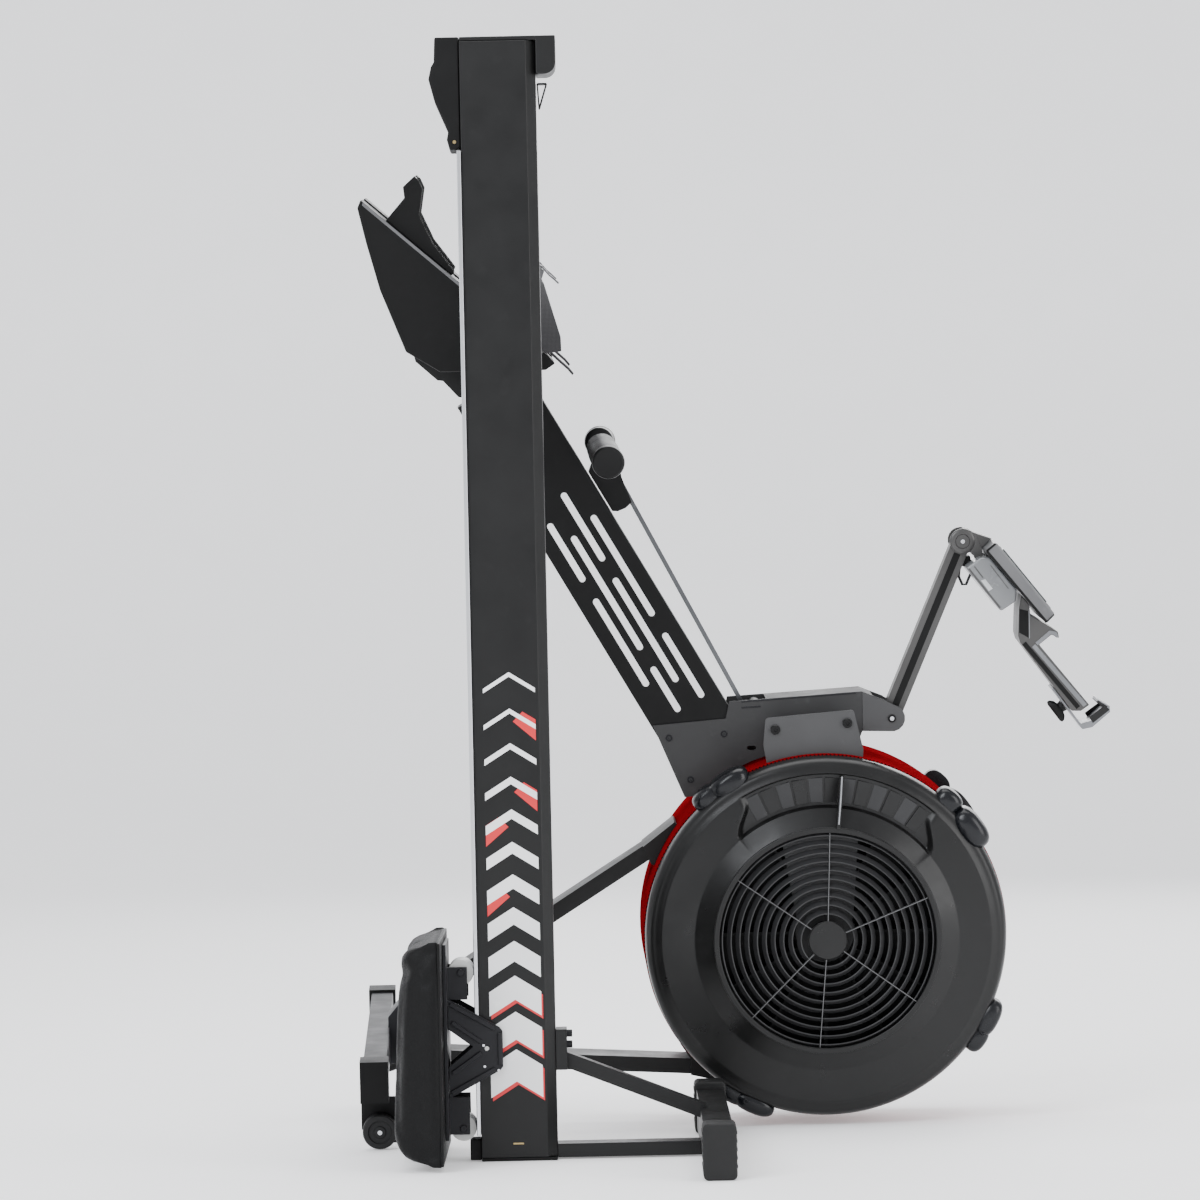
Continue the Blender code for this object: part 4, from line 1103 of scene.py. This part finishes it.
def dress_display():
    """Membrane keys, trim lines, a battery door with its label, and the dark seam of the housing."""
    keys = bmesh.new()
    for index in range(5):
        y = -0.044 + index * 0.022
        slab(display_point, rectangle(0.106, 0.115, 0, 0.0012), y - 0.007, y + 0.007, keys)
    piece("display_keys", keys, RUBBER, "console", bevel=0.0005)
    trim = bmesh.new()
    for first, last in ((0.01, 0.0125), (0.1035, 0.1045)):
        slab(display_point, rectangle(first, last, 0, 0.001), -0.058, 0.058, trim)
    piece("display_trim", trim, DARK_STEEL, "console", bevel=0.0003)
    seam = mirrored_lines((
        ((0.4996, 0.7502), (0.5762, 0.6561), 0.0034), ((0.4996, 0.7502), (0.511, 0.7598), 0.0026),
        ((0.5762, 0.6561), (0.5862, 0.6658), 0.0016),
    ), 0.0698, 0.0704)
    piece("display_seam", seam, PLASTIC, "console")
    label = [(0.4935, 0.7105), (0.499, 0.712), (0.5085, 0.6995), (0.5035, 0.6965)]
    piece("battery_label", mirrored_prism(label, 0.0498, 0.0503), PALE_PLASTIC, "console")
    door = mirrored_lines((
        ((0.485, 0.729), (0.496, 0.714), 0.0016), ((0.4778, 0.7262), (0.518, 0.6742), 0.0022),
        ((0.506, 0.73), (0.529, 0.699), 0.0012),
    ), 0.0498, 0.0504)
    piece("battery_door_lines", door, GREY_PAINT, "console")
    hook = tube_shape([
        (0.4702, 0, 0.723), (0.469, 0, 0.712), (0.4735, 0, 0.7015), (0.4785, 0, 0.7015),
        (0.483, 0, 0.712), (0.486, 0, 0.718),
    ], 0.0018)
    piece("cable_loop", hook, DARK_STEEL, "console")
    block = [(0.4718, 0.7276), (0.473, 0.737), (0.483, 0.74), (0.485, 0.733), (0.479, 0.723)]
    piece("cable_boot", prism(block, -0.01, 0.01), PLASTIC, "console", bevel=0.0012)


def dress_tablet_rest():
    """Dark channel, a dark strip painted as shade and bright strips painted as highlights along the arm and
    the channel's edge, silver lip and padded clip of the tablet rest.
    """
    upper = [(0.5446, 0.671), (0.556, 0.668), (0.556, 0.633), (0.5438, 0.64)]
    channel = mirrored_prism(upper, 0.035, 0.0356)
    # a dark strip along the arm: painted shade on the lower half of its bevel
    mirrored_prism(strip((0.55, 0.6262), (0.62, 0.54), 0.006), 0.035, 0.0356, channel)
    piece("tablet_channel_and_painted_shade", channel, PLASTIC, "console")
    # bright strips along the channel's edge and the upper half of the arm's bevel: painted highlights
    silver = mirrored_prism(strip((0.5572, 0.6685), (0.5572, 0.632), 0.0014), 0.035, 0.0358)
    mirrored_prism(strip((0.5625, 0.6225), (0.629, 0.5425), 0.0056), 0.035, 0.0357, silver)
    lip = [
        (0.565, 0.6262), (0.584, 0.642), (0.592, 0.64), (0.596, 0.6322), (0.5925, 0.6322),
        (0.586, 0.6372), (0.568, 0.6228),
    ]
    prism(lip, -0.0358, 0.0358, silver)
    piece("tablet_lip_and_painted_highlights", silver, SILVER, "console", bevel=0.0004)
    pad = prism([(0.656, 0.537), (0.66, 0.5395), (0.647, 0.5478), (0.6452, 0.545)], -0.0252, 0.0252)
    jaw = [(0.64, 0.518), (0.6625, 0.5352), (0.656, 0.5412), (0.635, 0.5262)]
    mirrored_prism(jaw, 0.0251, 0.0256, pad)
    piece("clamp_pad", pad, RUBBER, "clamp", bevel=0.0004)


def dress_knob():
    """A two-winged knob, turned about the line it screws along."""
    run = Vector((0.5915, -0.8063))
    out = Vector((-0.8063, -0.5915))
    foot = Vector((0.545, 0.6265)) + run * 0.105 + out * 0.0045
    sections = []
    for rise, wing, width in (
        (-0.0008, 0.008, 0.008), (0.004, 0.007, 0.007), (0.006, 0.0125, 0.0075),
        (0.01, 0.0165, 0.007), (0.0135, 0.0168, 0.006), (0.015, 0.0135, 0.0045),
    ):
        section = []
        for turn in turns(24):
            point = foot + out * rise + run * (wing * cos(turn))
            section.append((point.x, width * sin(turn), point.y))
        sections.append(section)
    piece(
        "clamp_wing_knob", loft(sections), PLASTIC, "knob", bevel=0.0004, hides=("clamp_knob",),
    )


# ---- stage
def area_light(name, location, size, power, colour=(1, 1, 1)):
    light = bpy.data.lights.new(name, "AREA")
    light.shape = "RECTANGLE"
    light.size, light.size_y = size
    light.energy = power
    light.color = colour
    lamp = added(name, light)
    middle = Vector((0, 0, 0.7))
    lamp.location = location
    lamp.rotation_euler = (middle - Vector(location)).to_track_quat("-Z", "Y").to_euler()


def floor_shape():
    """A floor that curves up into a backdrop."""
    shape = bmesh.new()
    depth = 6
    half_width = 30
    radius = 1.5
    bend = arc((depth, radius), radius, -90, 0, 12)
    curve = [(-half_width, 0), *bend, (depth + radius, 7)]
    rows = [[shape.verts.new((x, y, z - 0.0004)) for x in (-half_width, half_width)] for y, z in curve]
    sheet(rows, shape)
    return shape


def build_stage():
    pale = finish("studio_floor", (0.9, 0.9, 0.905), 0.7, grain=300, bump=0.02, mottle=0.01)
    floor = added("studio_floor", floor_shape())
    floor.data.materials.append(pale)
    floor.data.shade_smooth()
    surface = pale.node_tree.nodes["Principled BSDF"].inputs
    surface["Emission Color"].default_value = (1, 1, 1, 1)
    surface["Emission Strength"].default_value = 0.3
    world = bpy.data.worlds.new("studio")
    world.use_nodes = True
    sky = world.node_tree.nodes["Background"].inputs
    sky["Color"].default_value = (0.95, 0.96, 1, 1)
    sky["Strength"].default_value = 0.95
    bpy.context.scene.world = world
    area_light("key_light", (-3.2, -4.2, 3.6), (3, 3), 300, (0.93, 0.96, 1))
    area_light("fill_light", (4.2, -3, 1.6), (2.5, 3.5), 140)
    area_light("top_light", (0, 0.5, 4.2), (4, 3), 150)
    area_light("back_light", (1.5, 4.5, 2.8), (4, 2.5), 110)


def build_camera():
    """A long lens square to the rail, turned a little so that the rail leans to the left."""
    distance, aside, height, lean = 6.5, 0.1155, 0.6884, radians(-1.2)
    foot = RAIL.translation
    lens = bpy.data.cameras.new("camera")
    lens.lens = 157.6
    lens.sensor_width = 36
    lens.clip_end = 60
    camera = added("camera", lens)
    place = Matrix.Translation((foot.x + aside, foot.y - distance, height))
    level = Matrix.Rotation(radians(90), 4, "X")
    camera.matrix_world = place @ level @ Matrix.Rotation(lean, 4, "Z")
    bpy.context.scene.camera = camera


build_camera()
dress_rail()
dress_rail_graphics()
dress_rear_stand()
dress_seat()
dress_beam()
dress_beam_graphics()
dress_mount_plates()
dress_covers()
dress_slats()
dress_band()
dress_damper()
dress_fan()
dress_front_legs()
dress_handle()
dress_handle_chain()
dress_foot_rests()
dress_console()
build_stage()
